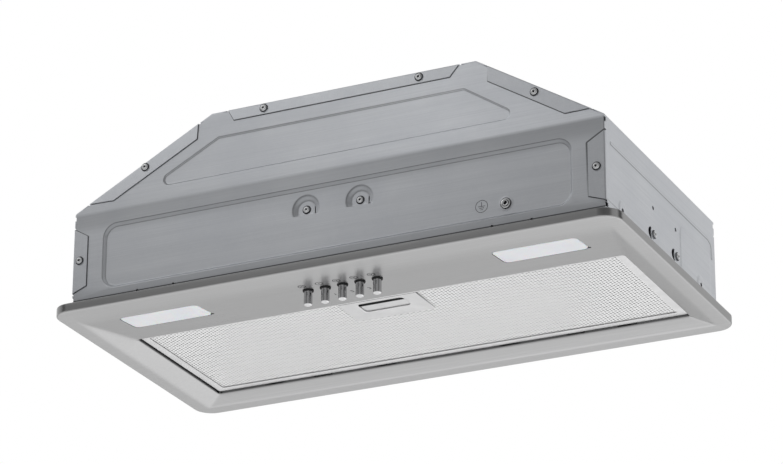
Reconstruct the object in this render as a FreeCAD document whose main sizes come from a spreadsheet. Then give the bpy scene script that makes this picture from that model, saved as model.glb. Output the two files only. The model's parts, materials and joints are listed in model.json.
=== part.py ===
import FreeCAD, Part
import math
import os
import Sketcher
from FreeCAD import Placement, Rotation, Vector

# Canopy range hood insert, built into the underside of a wall cabinet.
# Row frame: millimetres, +Z up, +X to the user's right, -Y towards the user.
# Origin: centre of the face tray in plan, at the height of the seat, the plane
# of the tray's top lip that lies against the underside of the cabinet.

doc = FreeCAD.newDocument("hood_insert")
sheet = doc.addObject("Spreadsheet::Sheet", "dims")
row = [0]


class E:
    """A size with the expression that drives it."""

    def __init__(self, text, value):
        self.text = text
        self.value = float(value)

    @staticmethod
    def of(v):
        return v if isinstance(v, E) else E(repr(float(v)), v)

    def __add__(self, o):
        o = E.of(o)
        return E("(%s + %s)" % (self.text, o.text), self.value + o.value)

    def __radd__(self, o):
        return E.of(o) + self

    def __sub__(self, o):
        o = E.of(o)
        return E("(%s - (%s))" % (self.text, o.text), self.value - o.value)

    def __rsub__(self, o):
        return E.of(o) - self

    def __mul__(self, o):
        o = E.of(o)
        return E("(%s * %s)" % (self.text, o.text), self.value * o.value)

    def __rmul__(self, o):
        return E.of(o) * self

    def __truediv__(self, o):
        o = E.of(o)
        return E("(%s / %s)" % (self.text, o.text), self.value / o.value)

    def __neg__(self):
        return E("(-1 * %s)" % self.text, -self.value)

    def __float__(self):
        return self.value


def cell(alias, value):
    row[0] += 1
    sheet.set("A%d" % row[0], alias)
    sheet.set("B%d" % row[0], str(value))
    sheet.setAlias("B%d" % row[0], alias)
    return E("dims." + alias, value)


def num(v):
    return v.value if isinstance(v, E) else float(v)


# ---- driving sizes ----
tray_width = cell("tray_width", 525)
tray_depth = cell("tray_depth", 280)
seat = cell("seat_height", 8)
tray_sheet = cell("tray_sheet", 1)
tray_corner = cell("tray_corner", 17)
rim_roll = cell("rim_roll", 2.5)
seat_lip = cell("seat_lip", 6.5)
dish_side = cell("dish_side", 248)
dish_back = cell("dish_back", 124)
dish_front = cell("dish_front", 112)
open_side = cell("open_side", 230)
open_back = cell("open_back", 110)
open_front = cell("open_front", 42)
open_rise = cell("open_rise", 6)
wall_top = cell("wall_top", 15.5)
hook_x = cell("hook_x", 123.5)
case_side = cell("case_side", 249)
case_depth = cell("case_depth", 252.4)
shoulder = cell("shoulder", 97)
case_top = cell("case_top", 168)
top_left = cell("top_left", 116)
top_right = cell("top_right", 134)
case_sheet = cell("case_sheet", 1)
duct_x = cell("duct_x", 9)
duct_y = cell("duct_y", 42.5)
duct_radius = cell("duct_radius", 60)
collar_height = cell("collar_height", 35)
collar_wall = cell("collar_wall", 3)
fan_y = cell("fan_y", -10)
fan_z = cell("fan_z", 94)
fan_radius = cell("fan_radius", 47)
fan_eye = cell("fan_eye", 40)
fan_left = cell("fan_left", -29)
fan_right = cell("fan_right", 45)
scroll_left = cell("scroll_left", -33)
scroll_right = cell("scroll_right", 51)
scroll_sheet = cell("scroll_sheet", 1.2)
shaft_radius = cell("shaft_radius", 3)
can_radius = cell("can_radius", 38)
filter_side = cell("filter_side", 229.5)
filter_front = cell("filter_front", 41.5)
filter_back = cell("filter_back", 109.5)
filter_low = cell("filter_low", 8)
filter_thick = cell("filter_thick", 9)
filter_sheet = cell("filter_sheet", 0.8)
filter_lip = cell("filter_lip", 8)
lens_x = cell("lens_x", 175.4)
lens_y = cell("lens_y", 90)
lens_width = cell("lens_width", 76)
lens_depth = cell("lens_depth", 32)
lens_corner = cell("lens_corner", 3.5)
button_radius = cell("button_radius", 3.6)
button_tip = cell("button_tip", -12)
button_y = cell("button_y", -92.7)
button_first = cell("button_first", -36.9)
button_pitch = cell("button_pitch", 16.2)
fix_y_front = cell("fix_y_front", -91)
fix_y_back = cell("fix_y_back", 87)
fix_z = cell("fix_z", 23.8)
fix_radius = cell("fix_radius", 2)
earth_x = cell("earth_x", 159.3)
earth_z = cell("earth_z", 34.3)
doc.recompute()

strip_tilt = math.degrees(math.atan2(num(open_rise), num(dish_front) - num(open_front)))
BUTTON_X = [button_first + button_pitch * i for i in range(5)]


def Z(v):
    """Height above the tray's lower rim, as a height in the row frame."""
    return v - seat


nodes = []


def keep(obj, label):
    obj.Label = label
    nodes.append((label, obj))
    return obj


# ---- sketches and features ----
def new_body(label):
    b = doc.addObject("PartDesign::Body", label)
    return keep(b, label)


def plane_of(b, role):
    for f in b.Origin.OriginFeatures:
        if f.Role == role:
            return f
    raise ValueError(role)


def sketch(b, role, off):
    """A sketch on an origin plane, moved along the plane's normal (+Z, -Y or +X)."""
    s = b.newObject("Sketcher::SketchObject", b.Name + "_sketch")
    s.AttachmentSupport = [(plane_of(b, role), "")]
    s.MapMode = "FlatFace"
    s.AttachmentOffset = Placement(Vector(0, 0, num(off)), Rotation())
    if isinstance(off, E):
        s.setExpression("AttachmentOffset.Base.z", off.text)
    return s


def pin_point(s, geo, pos, x, y):
    for kind, v, axis in (("DistanceX", x, -2), ("DistanceY", y, -1)):
        n = num(v)
        if abs(n) < 1e-9:
            s.addConstraint(Sketcher.Constraint("PointOnObject", geo, pos, axis))
            continue
        if n > 0:
            i = s.addConstraint(Sketcher.Constraint(kind, -1, 1, geo, pos, n))
            text = v.text if isinstance(v, E) else None
        else:
            i = s.addConstraint(Sketcher.Constraint(kind, geo, pos, -1, 1, -n))
            text = "(-1 * %s)" % v.text if isinstance(v, E) else None
        if text:
            s.setExpression("Constraints[%d]" % i, text)


def poly(s, pts):
    base = len(s.Geometry)
    n = len(pts)
    v = [Vector(num(x), num(y), 0) for x, y in pts]
    s.addGeometry([Part.LineSegment(v[i], v[(i + 1) % n]) for i in range(n)], False)
    for i in range(n):
        s.addConstraint(Sketcher.Constraint("Coincident", base + i, 2, base + (i + 1) % n, 1))
    for i, (x, y) in enumerate(pts):
        pin_point(s, base + i, 1, x, y)
    return s


def rect(s, x0, x1, y0, y1):
    return poly(s, [(x0, y0), (x1, y0), (x1, y1), (x0, y1)])


def circle(s, x, y, r):
    g = s.addGeometry(Part.Circle(Vector(num(x), num(y), 0), Vector(0, 0, 1), num(r)), False)
    pin_point(s, g, 3, x, y)
    i = s.addConstraint(Sketcher.Constraint("Radius", g, num(r)))
    if isinstance(r, E):
        s.setExpression("Constraints[%d]" % i, r.text)
    return s


def size(f, prop, v):
    setattr(f, prop, num(v))
    if isinstance(v, E):
        f.setExpression(prop, v.text)


def volume(b):
    return b.Shape.Volume if not b.Shape.isNull() else 0.0


def pad(b, s, length, back=False):
    f = b.newObject("PartDesign::Pad", b.Name + "_pad")
    f.Profile = s
    size(f, "Length", length)
    f.Reversed = back
    before = volume(b)
    doc.recompute()
    if volume(b) <= before:
        raise ValueError("pad adds nothing: " + f.Name)
    return f


def pocket(b, s, length, ahead=False):
    """Cuts against the plane's normal, or along it with ahead."""
    f = b.newObject("PartDesign::Pocket", b.Name + "_pocket")
    f.Profile = s
    size(f, "Length", length)
    f.Reversed = ahead
    before = volume(b)
    doc.recompute()
    if volume(b) >= before - 1e-6:
        raise ValueError("pocket cuts nothing: " + f.Name)
    return f


def loft(b, kind, first, last):
    f = b.newObject("PartDesign::" + kind, b.Name + "_loft")
    f.Profile = first
    f.Sections = [last]
    f.Ruled = True
    before = volume(b)
    doc.recompute()
    if abs(volume(b) - before) < 1e-6:
        raise ValueError("loft does nothing: " + f.Name)
    return f


def round_edges(b, radius, want):
    tip = b.Tip
    names = ["Edge%d" % (i + 1) for i, e in enumerate(tip.Shape.Edges) if want(e)]
    if not names:
        raise ValueError("no edge to round on " + b.Name)
    f = b.newObject("PartDesign::Fillet", b.Name + "_round")
    f.Base = (tip, names)
    size(f, "Radius", radius)
    doc.recompute()
    return f


def revolve(b, s, axis="V_Axis"):
    f = b.newObject("PartDesign::Revolution", b.Name + "_turn")
    f.Profile = s
    f.ReferenceAxis = (s, [axis])
    f.Angle = 360
    doc.recompute()
    return f


def is_upright(e, x=None, y=None):
    a, c = e.Vertexes[0].Point, e.Vertexes[-1].Point
    if abs(a.x - c.x) > 1e-6 or abs(a.y - c.y) > 1e-6 or abs(a.z - c.z) < 1e-6:
        return False
    if x is not None and abs(abs(a.x) - x) > 1e-4:
        return False
    return y is None or abs(abs(a.y) - y) < 1e-4


def lies_at(e, z, grow=None):
    if not all(abs(v.Point.z - z) < 1e-5 for v in e.Vertexes):
        return False
    return grow is None or grow(e)


# ---- primitives ----
count = [0]


def place(o, x=0, y=0, z=0, rot=None):
    o.Placement = Placement(Vector(num(x), num(y), num(z)), rot or Rotation())
    for axis, v in (("x", x), ("y", y), ("z", z)):
        if isinstance(v, E):
            o.setExpression("Placement.Base." + axis, v.text)
    return o


def box(x0, x1, y0, y1, z0, z1):
    """Box between heights above the rim."""
    count[0] += 1
    o = doc.addObject("Part::Box", "box_%d" % count[0])
    size(o, "Length", x1 - x0)
    size(o, "Width", y1 - y0)
    size(o, "Height", z1 - z0)
    return place(o, x0, y0, Z(z0))


TURN = {"z": Rotation(), "x": Rotation(Vector(0, 1, 0), 90), "y": Rotation(Vector(1, 0, 0), -90)}


def cyl(axis, r, length, x, y, z):
    """Cylinder along +axis from the point; z is a height above the rim."""
    count[0] += 1
    o = doc.addObject("Part::Cylinder", "cyl_%d" % count[0])
    size(o, "Radius", r)
    size(o, "Height", length)
    return place(o, x, y, Z(z), TURN[axis])


def fuse(*shapes):
    count[0] += 1
    o = doc.addObject("Part::MultiFuse", "fuse_%d" % count[0])
    o.Shapes = list(shapes)
    o.Refine = True
    doc.recompute()
    return o


def cut(base, *tools):
    count[0] += 1
    tool = tools[0] if len(tools) == 1 else fuse(*tools)
    o = doc.addObject("Part::Cut", "cut_%d" % count[0])
    o.Base = base
    o.Tool = tool
    o.Refine = True
    doc.recompute()
    return o


def feature(label, shape, at=None):
    o = doc.addObject("Part::Feature", label)
    o.Shape = shape
    if at is not None:
        o.Placement = at
    return keep(o, label)


# =====================================================================
# Face tray: pressed stainless sheet, dished up to the filter opening
# =====================================================================
tray = new_body("face_tray")
half_w, half_d = tray_width / 2, tray_depth / 2
pad(tray, rect(sketch(tray, "XY_Plane", Z(0)), -half_w, half_w, -half_d, half_d), seat)
# window inside the seat lip, then the hollow between lip and rim
s = sketch(tray, "XY_Plane", seat - seat)
rect(s, -(half_w - seat_lip), half_w - seat_lip, -(half_d - seat_lip), half_d - seat_lip)
pocket(tray, s, tray_sheet)
s = sketch(tray, "XY_Plane", Z(tray_sheet))
rect(s, -(half_w - tray_sheet), half_w - tray_sheet, -(half_d - tray_sheet), half_d - tray_sheet)
pocket(tray, s, seat - 2 * tray_sheet, ahead=True)
inner_w, inner_d = num(half_w - tray_sheet), num(half_d - tray_sheet)
round_edges(tray, tray_corner - tray_sheet, lambda e: is_upright(e, inner_w, inner_d))
round_edges(tray, tray_corner, lambda e: is_upright(e, num(half_w), num(half_d)))
z_floor, z_rim = num(Z(tray_sheet)), num(Z(0))
round_edges(
    tray,
    rim_roll - tray_sheet,
    lambda e: lies_at(e, z_floor) and max(abs(e.CenterOfMass.x) - 200, 0) + max(abs(e.CenterOfMass.y) - 100, 0) > 0,
)
round_edges(tray, rim_roll, lambda e: lies_at(e, z_rim))
# dished ring: ruled faces from the flat rim up to the opening
s = sketch(tray, "XY_Plane", Z(tray_sheet))
rect(s, -dish_side, dish_side, -dish_front, dish_back)
u = sketch(tray, "XY_Plane", Z(open_rise + tray_sheet))
rect(u, -(open_side + tray_sheet), open_side + tray_sheet, -(open_front + tray_sheet), open_back + tray_sheet)
loft(tray, "AdditiveLoft", s, u)
s = sketch(tray, "XY_Plane", Z(open_rise + tray_sheet))
rect(s, -(open_side + tray_sheet), open_side + tray_sheet, -(open_front + tray_sheet), open_back + tray_sheet)
pad(tray, s, wall_top - open_rise - tray_sheet)
s = sketch(tray, "XY_Plane", Z(0))
rect(s, -dish_side, dish_side, -dish_front, dish_back)
u = sketch(tray, "XY_Plane", Z(open_rise))
rect(u, -open_side, open_side, -open_front, open_back)
loft(tray, "SubtractiveLoft", s, u)
s = sketch(tray, "XY_Plane", Z(open_rise))
rect(s, -open_side, open_side, -open_front, open_back)
pocket(tray, s, wall_top - open_rise + 1, ahead=True)
# windows for the two lenses
s = sketch(tray, "XY_Plane", Z(0))
for side in (-1, 1):
    rect(
        s,
        side * lens_x - lens_width / 2 - 0.5,
        side * lens_x + lens_width / 2 + 0.5,
        -lens_y - lens_depth / 2 - 0.5,
        -lens_y + lens_depth / 2 + 0.5,
    )
pocket(tray, s, 7, ahead=True)
# holes for the button collars
s = sketch(tray, "XY_Plane", Z(0))
for bx in BUTTON_X:
    circle(s, bx, button_y, 4.9)
pocket(tray, s, 7, ahead=True)
# slots in the wall behind the filter, and the latch slot in front of it
s = sketch(tray, "XZ_Plane", -(open_back - 1))
for sx in (-172, -123.5, -60, 60, 123.5, 172):
    rect(s, sx - 9, sx + 9, Z(7), Z(12.5))
pocket(tray, s, 3)
s = sketch(tray, "XZ_Plane", open_front + 2)
rect(s, -10, 10, Z(11), Z(13.8))
pocket(tray, s, 3)

# =====================================================================
# Wrapper: sides, slants and top from one folded sheet, with its tabs
# =====================================================================
wrap = new_body("wrapper_shell")
half_case = case_depth / 2
s = sketch(wrap, "XZ_Plane", half_case)
tc = case_sheet
poly(
    s,
    [
        (-(case_side + 6), Z(1)),
        (-(case_side - tc), Z(1)),
        (-(case_side - tc), Z(shoulder - 0.60)),
        (-(top_left - 0.26), Z(case_top - tc)),
        (top_right - 0.28, Z(case_top - tc)),
        (case_side - tc, Z(shoulder - 0.56)),
        (case_side - tc, Z(1)),
        (case_side + 6, Z(1)),
        (case_side + 6, Z(2)),
        (case_side, Z(2)),
        (case_side, Z(shoulder)),
        (top_right, Z(case_top)),
        (-top_left, Z(case_top)),
        (-case_side, Z(shoulder)),
        (-case_side, Z(2)),
        (-(case_side + 6), Z(2)),
    ],
)
pad(wrap, s, case_depth, back=True)


def tabs(b, off):
    """The five folded tabs, as closed outlines that end inside the sheet's edge."""
    s = sketch(b, "XZ_Plane", off)
    poly(s, [(-235, Z(104.2)), (-234, Z(103.6)), (-211, Z(103.6)), (-130, Z(146.6)), (-129, Z(160.6))])
    poly(s, [(-99.7, Z(case_top - 0.4)), (-94, Z(157.7)), (110, Z(157.7)), (118.7, Z(case_top - 0.4))])
    poly(s, [(145, Z(160.7)), (145, Z(147)), (214, Z(104)), (236.8, Z(104))])
    poly(s, [(case_side - 0.4, Z(82.3)), (233.7, Z(73.3)), (233.7, Z(26)), (case_side - 0.4, Z(20.7))])
    poly(s, [(-(case_side - 0.4), Z(82.3)), (-235.3, Z(74)), (-235.3, Z(28)), (-(case_side - 0.4), Z(22.3))])
    return s


pad(wrap, tabs(wrap, half_case), case_sheet, back=True)
pad(wrap, tabs(wrap, -(half_case - case_sheet)), case_sheet, back=True)
SCREWS = [(-180, 129), (187.3, 128.3), (-65, 163), (82, 163), (-242.3, 52), (241.3, 51)]
s = sketch(wrap, "XZ_Plane", half_case + 1)
for sx, sz in SCREWS:
    circle(s, sx, Z(sz), 1.7)
pocket(wrap, s, case_depth + 2)
# fixing holes through both sides
s = sketch(wrap, "YZ_Plane", -(case_side + 1))
circle(s, fix_y_front, Z(fix_z), fix_radius)
circle(s, fix_y_back, Z(fix_z), fix_radius)
circle(s, -21, Z(53.6), 1.8)
circle(s, 30.6, Z(53.6), 1.8)
circle(s, -21, Z(29.4), 1.7)
circle(s, 32, Z(29.4), 1.7)
pocket(wrap, s, 2 * case_side + 2, ahead=True)
# mouth of the blower, cable gland and collar screws in the top
COLLAR_SCREWS = [(45, -1), (135, -1), (225, -1), (315, -1)]
s = sketch(wrap, "XY_Plane", Z(case_top + 1))
rect(s, -33, 51, 17, 68)
circle(s, 100, -75, 8.2)
for ang, _ in COLLAR_SCREWS:
    a = math.radians(ang)
    circle(s, duct_x + 64 * math.cos(a), duct_y + 64 * math.sin(a), 1.4)
pocket(wrap, s, 3)


def pressed(b, outline, inset, y_face, depth, sheet_t):
    """A flat field pressed into a sheet, away from its face at y_face (in -Y)."""
    s = poly(sketch(b, "XZ_Plane", y_face - sheet_t), outline)
    u = poly(sketch(b, "XZ_Plane", y_face - sheet_t - depth), inset)
    loft(b, "AdditiveLoft", s, u)
    s = poly(sketch(b, "XZ_Plane", y_face), outline)
    u = poly(sketch(b, "XZ_Plane", y_face - depth), inset)
    loft(b, "SubtractiveLoft", s, u)


# =====================================================================
# Front and rear panels
# =====================================================================
face_y = half_case - case_sheet


def end_panel(label, sign):
    b = new_body(label)
    off = face_y if sign < 0 else -(face_y - case_sheet)
    s = sketch(b, "XZ_Plane", off)
    g = 0.2
    poly(
        s,
        [
            (-(case_side - tc - g), Z(1)),
            (case_side - tc - g, Z(1)),
            (case_side - tc - g, Z(shoulder - 0.8)),
            (top_right - 0.5, Z(case_top - tc - g)),
            (-(top_left - 0.5), Z(case_top - tc - g)),
            (-(case_side - tc - g), Z(shoulder - 0.8)),
        ],
    )
    pad(b, s, case_sheet, back=True)
    s = sketch(b, "XY_Plane", Z(1))
    if sign < 0:
        rect(s, -240, 240, -(face_y + 5), -(face_y - 0.5))
    else:
        rect(s, -240, 240, face_y - 0.5, face_y + 5)
    pad(b, s, case_sheet)
    s = sketch(b, "XZ_Plane", face_y + 1 if sign < 0 else -(face_y - 2))
    for sx, sz in SCREWS:
        circle(s, sx, Z(sz), 1.7)
    pocket(b, s, 3)
    return b


front = end_panel("front_panel", -1)
pressed(
    front,
    [(-219, Z(35)), (-207, Z(23.3)), (206, Z(23.3)), (218, Z(35)), (218, Z(69)), (206, Z(81)), (-207, Z(81)), (-219, Z(69))],
    [(-216, Z(36)), (-206, Z(26.3)), (205, Z(26.3)), (215, Z(36)), (215, Z(68)), (205, Z(78)), (-206, Z(78)), (-216, Z(68))],
    face_y,
    3,
    case_sheet,
)
pressed(
    front,
    [(-155, Z(109)), (160, Z(109)), (162, Z(118.3)), (123, Z(144.3)), (-109, Z(144.3)), (-160, Z(118))],
    [(-153, Z(111)), (158, Z(111)), (159, Z(117.5)), (122, Z(142.3)), (-108, Z(142.3)), (-157, Z(117.5))],
    face_y,
    2,
    case_sheet,
)
# holes in the pressed field: two bracket screws and the earth terminal
s = sketch(front, "XZ_Plane", face_y + 1)
circle(s, -25, Z(62.7), 1.7)
circle(s, 25.3, Z(62.7), 1.7)
circle(s, earth_x, Z(earth_z), 3.6)
pocket(front, s, 8)
rear = end_panel("rear_panel", 1)

# =====================================================================
# Duct collar with two non-return flaps on one pin
# =====================================================================
collar = new_body("outlet_collar")
s = sketch(collar, "XZ_Plane", 0)
r_in = duct_radius - collar_wall
poly(
    s,
    [
        (r_in, Z(case_top)),
        (duct_radius + 9, Z(case_top)),
        (duct_radius + 9, Z(case_top + 2)),
        (duct_radius, Z(case_top + 2)),
        (duct_radius, Z(case_top + collar_height)),
        (r_in, Z(case_top + collar_height)),
        (r_in, Z(case_top + 12)),
        (r_in - 3, Z(case_top + 12)),
        (r_in - 3, Z(case_top + 10)),
        (r_in, Z(case_top + 10)),
    ],
)
revolve(collar, s)
PIN_Z = case_top + 14.5
s = sketch(collar, "YZ_Plane", -(r_in + 0.8))
circle(s, 0, Z(PIN_Z), 3.6)
pad(collar, s, 6)
s = sketch(collar, "YZ_Plane", r_in - 5.2)
circle(s, 0, Z(PIN_Z), 3.6)
pad(collar, s, 6)
s = sketch(collar, "YZ_Plane", -(r_in - 0.8))
circle(s, 0, Z(PIN_Z), 1.5)
pocket(collar, s, 2 * r_in - 1.6, ahead=True)
s = sketch(collar, "XY_Plane", Z(case_top + 3))
for ang, _ in COLLAR_SCREWS:
    a = math.radians(ang)
    circle(s, 64 * math.cos(a), 64 * math.sin(a), 1.6)
pocket(collar, s, 4)
place(collar, duct_x, duct_y, 0)

pin = keep(cyl("x", 1.5, 2 * r_in - 1.6, duct_x - (r_in - 0.8), duct_y, PIN_Z), "damper_pin")


def flap(label, sign, mine, other):
    """Half disc with two knuckles; sign is the side of the pin it covers."""
    ax, ay, az = num(duct_x), num(duct_y), num(Z(PIN_Z))
    disc = Part.makeCylinder(num(r_in) - 1.6, 1.2, Vector(0, 0, -2.35))
    half = Part.makeBox(130, 70, 5, Vector(-65, 0.5, -4))
    plate = disc.common(half)
    for x0, x1 in other + [(-70, -50.4), (50.4, 70)]:
        plate = plate.cut(Part.makeBox(x1 - x0 + 1, 4.6, 6, Vector(x0 - 0.5, 0, -4)))
    for x0, x1 in mine:
        plate = plate.fuse(Part.makeCylinder(2.6, x1 - x0, Vector(x0, 0, 0), Vector(1, 0, 0)))
    plate = plate.cut(Part.makeCylinder(1.55, 130, Vector(-65, 0, 0), Vector(1, 0, 0)))
    plate = plate.removeSplitter()
    if sign < 0:
        plate = plate.mirror(Vector(0, 0, 0), Vector(0, 1, 0))
    return feature(label, plate, Placement(Vector(ax, ay, az), Rotation()))


KNUCKLE_A = [(-48, -25), (0.2, 23)]
KNUCKLE_B = [(-24, -0.8), (24, 48)]
flap("damper_flap_rear", 1, KNUCKLE_A, KNUCKLE_B)
flap("damper_flap_front", -1, KNUCKLE_B, KNUCKLE_A)

# =====================================================================
# Blower: spiral casing, impeller and motor on one axis along X
# =====================================================================
YC, ZC = num(fan_y), num(Z(fan_z))
MOUTH_TOP = num(Z(case_top - case_sheet))
T = num(scroll_sheet)


def spiral(extra):
    pts = []
    for i in range(31):
        th = math.radians(60 + 10 * i)
        r = 53 + 25 * i / 30 + extra
        pts.append(Vector(0, YC + r * math.cos(th), ZC + r * math.sin(th)))
    c = Part.BSplineCurve()
    c.interpolate(pts)
    return c.toShape(), pts[0], pts[-1]


def line(a, b):
    return Part.LineSegment(a, b).toShape()


inner, i0, i1 = spiral(0)
outer, o0, o1 = spiral(T)
x0, x1 = num(scroll_left), num(scroll_right)
band = Part.Face(Part.Wire([inner, line(i1, o1), outer, line(o0, i0)]))
strip = band.extrude(Vector(x1 - x0, 0, 0))
strip = strip.fuse(Part.makeBox(x1 - x0, T, MOUTH_TOP - ZC, Vector(0, i1.y, ZC)))
strip = strip.fuse(Part.makeBox(x1 - x0, T, MOUTH_TOP - i0.z, Vector(0, 17 - T, i0.z)))
strip = strip.removeSplitter()
feature("blower_scroll", strip, Placement(Vector(x0, 0, 0), Rotation()))


def side_plate(label, x, hole, tab_from, tab_to):
    round_part = Part.Face(Part.Wire([outer, line(o1, o0)])).extrude(Vector(T, 0, 0))
    corners = [(17 - T, o0.z + 0.6), (17 - T, MOUTH_TOP), (o1.y, MOUTH_TOP), (o1.y, o1.z)]
    v = [Vector(0, cy, cz) for cy, cz in corners]
    neck = Part.Face(Part.Wire([line(v[i], v[(i + 1) % 4]) for i in range(4)])).extrude(Vector(T, 0, 0))
    plate = round_part.fuse(neck)
    plate = plate.cut(Part.makeCylinder(hole, 10, Vector(-5, YC, ZC), Vector(1, 0, 0)))
    lip = Part.makeBox(tab_to - tab_from, o1.y - 17 + T, T, Vector(tab_from, 17 - T, MOUTH_TOP - T))
    plate = plate.fuse(lip).removeSplitter()
    return feature(label, plate, Placement(Vector(x, 0, 0), Rotation()))


side_plate("blower_inlet_plate", x0 - T, 36, -12, T)
side_plate("blower_motor_plate", x1, 12, 0, 12)

ring = keep(
    cut(
        fuse(cyl("x", 35.8, 5, -35.7, fan_y, fan_z), cyl("x", 44, 1.5, -35.7, fan_y, fan_z)),
        cyl("x", 33.6, 20, -40, fan_y, fan_z),
    ),
    "inlet_ring",
)

fan = new_body("impeller")
pad(fan, circle(sketch(fan, "YZ_Plane", fan_right - 2), 0, 0, fan_radius), 2)
pad(fan, circle(sketch(fan, "YZ_Plane", fan_right - 15), 0, 0, 7), 14)
s = sketch(fan, "YZ_Plane", fan_left)
a = num(fan_eye)
b_out = num(fan_radius)
side_a, side_b = [], []
for i in range(5):
    r = a + 0.2 + (b_out - a - 0.6) * i / 4
    th = math.radians(7.5 * (i / 4) ** 1.4)
    w = 0.45 / r
    side_a.append((r * math.cos(th - w), r * math.sin(th - w)))
    side_b.append((r * math.cos(th + w), r * math.sin(th + w)))
poly(s, side_a + side_b[::-1])
blade = pad(fan, s, fan_right - fan_left - 1)
around = fan.newObject("PartDesign::PolarPattern", "impeller_blades")
around.Originals = [blade]
around.Axis = (plane_of(fan, "X_Axis"), [""])
around.Angle = 360
around.Occurrences = 30
fan.Tip = around
doc.recompute()
s = sketch(fan, "YZ_Plane", fan_left)
circle(s, 0, 0, fan_radius + 0.5)
circle(s, 0, 0, fan_eye)
pad(fan, s, 2)
s = sketch(fan, "YZ_Plane", fan_right + 1)
circle(s, 0, 0, shaft_radius)
pocket(fan, s, 20)
place(fan, 0, fan_y, Z(fan_z))

keep(cyl("x", shaft_radius, 72, 29, fan_y, fan_z), "motor_shaft")
keep(cut(cyl("x", 20, 20, 66, fan_y, fan_z), cyl("x", shaft_radius, 30, 62, fan_y, fan_z)), "motor_rotor")
# stator ring with its twelve teeth
stator = new_body("motor_stator")
s = sketch(stator, "YZ_Plane", 68)
circle(s, 0, 0, 36.8)
circle(s, 0, 0, 31)
pad(stator, s, 16)
s = sketch(stator, "YZ_Plane", 68)
rect(s, 20.6, 32, -2.4, 2.4)
tooth = pad(stator, s, 16)
around = stator.newObject("PartDesign::PolarPattern", "stator_teeth")
around.Originals = [tooth]
around.Axis = (plane_of(stator, "X_Axis"), [""])
around.Angle = 360
around.Occurrences = 12
stator.Tip = around
doc.recompute()
place(stator, 0, fan_y, Z(fan_z))

can = new_body("motor_can")
s = sketch(can, "XZ_Plane", 0)
poly(
    s,
    [
        (52.2, 4),
        (53.7, 4),
        (53.7, 8),
        (60, 8),
        (60, 10),
        (53.7, 10),
        (53.7, can_radius - 1.2),
        (98, can_radius - 1.2),
        (98, can_radius),
        (55.2, can_radius),
        (55.2, can_radius + 7),
        (52.2, can_radius + 7),
    ],
)
revolve(can, s, "H_Axis")
place(can, 0, fan_y, Z(fan_z))

end_cap = new_body("motor_end_cap")
s = sketch(end_cap, "XZ_Plane", 0)
poly(s, [(91, 8), (98, 8), (98, 4), (99.6, 4), (99.6, can_radius), (98, can_radius), (98, 10), (91, 10)])
revolve(end_cap, s, "H_Axis")
place(end_cap, 0, fan_y, Z(fan_z))

bearing = cut(cyl("x", 8, 6, 53.9, fan_y, fan_z), cyl("x", 3.03, 10, 52, fan_y, fan_z))
one = bearing.Shape.copy()
two = one.copy()
two.translate(Vector(92 - 53.9, 0, 0))
feature("motor_bearings", Part.makeCompound([one, two]))

# =====================================================================
# Electrical pieces inside the case
# =====================================================================
keep(cyl("z", 17, 60, -120, 102, 30), "run_capacitor")
clamp = cut(
    fuse(cyl("z", 18.2, 14, -120, 102, 50), box(-132, -108, 118, 124.2, 50, 64)),
    cyl("z", 17, 30, -120, 102, 45),
)
keep(clamp, "capacitor_clamp")
driver = cut(box(-62, 58, 100, 124.2, 28, 50), box(-58, -50, 98, 103, 32, 46), box(46, 54, 98, 103, 32, 46))
keep(driver, "led_driver")

keep(
    cut(box(74, 126, -92, -34, 138, 167), box(75.5, 124.5, -90.5, -35.5, 137, 165.5), cyl("z", 8.2, 6, 100, -75, 163)),
    "terminal_box",
)
keep(cut(box(74, 126, -92, -34, 136.5, 138), box(78, 84, -60, -50, 136, 139)), "terminal_lid")
wells = [box(86 + 10 * i, 92 + 10 * i, -58, -48, 153, 160) for i in range(3)]
keep(cut(box(83, 115, -60, -46, 154, 165.5), *wells), "terminal_block")
gland = cut(
    fuse(cyl("z", 8, 8, 100, -75, 160), cyl("z", 12, 3, 100, -75, 168), cyl("z", 9, 10, 100, -75, 171)),
    cyl("z", 4, 30, 100, -75, 155),
)
keep(gland, "cable_gland")
keep(cut(cyl("z", 12, 3, 100, -75, 162.5), cyl("z", 8, 6, 100, -75, 161)), "gland_nut")

# =====================================================================
# Grease filter: channel frame, three mesh layers, latch
# =====================================================================
ff = new_body("filter_frame")
fl, ft = filter_low, filter_thick
pad(ff, rect(sketch(ff, "XY_Plane", Z(fl)), -filter_side, filter_side, -filter_front, filter_back), ft)
s = sketch(ff, "XY_Plane", Z(fl))
rect(s, -(filter_side - filter_lip), filter_side - filter_lip, -(filter_front - 5), filter_back - filter_lip)
pocket(ff, s, ft + 1, ahead=True)
s = sketch(ff, "XY_Plane", Z(fl + filter_sheet))
rect(
    s,
    -(filter_side - filter_sheet),
    filter_side - filter_sheet,
    -(filter_front - filter_sheet),
    filter_back - filter_sheet,
)
pocket(ff, s, ft - 2 * filter_sheet, ahead=True)
s = sketch(ff, "XZ_Plane", filter_front + 1)
rect(s, -9.4, 9.4, Z(11.6), Z(13.2))
pocket(ff, s, 2)
# two lugs that hook into the slots behind the opening
s = sketch(ff, "XY_Plane", Z(fl + 0.6))
for side in (-1, 1):
    rect(s, side * hook_x - 7, side * hook_x + 7, filter_back - 0.5, filter_back + 4.5)
pad(ff, s, 0.8)


def mesh_layer(label, z0, z1):
    gap = 0.1
    lay = box(
        -(filter_side - filter_sheet - gap),
        filter_side - filter_sheet - gap,
        -(filter_front - filter_sheet - gap),
        filter_back - filter_sheet - gap,
        z0,
        z1,
    )
    if z0 < 15:
        lay = cut(lay, box(-23, 23, -32.4, 1.4, z0 - 1, 15.5), box(-9.8, 9.8, -42, -31, 11.3, 13.5))
    return keep(lay, label)


mesh_layer("filter_mesh_face", 8.8, 9.4)
mesh_layer("filter_mesh_core", 9.4, 15.6)
mesh_layer("filter_mesh_back", 15.6, 16.2)

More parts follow.
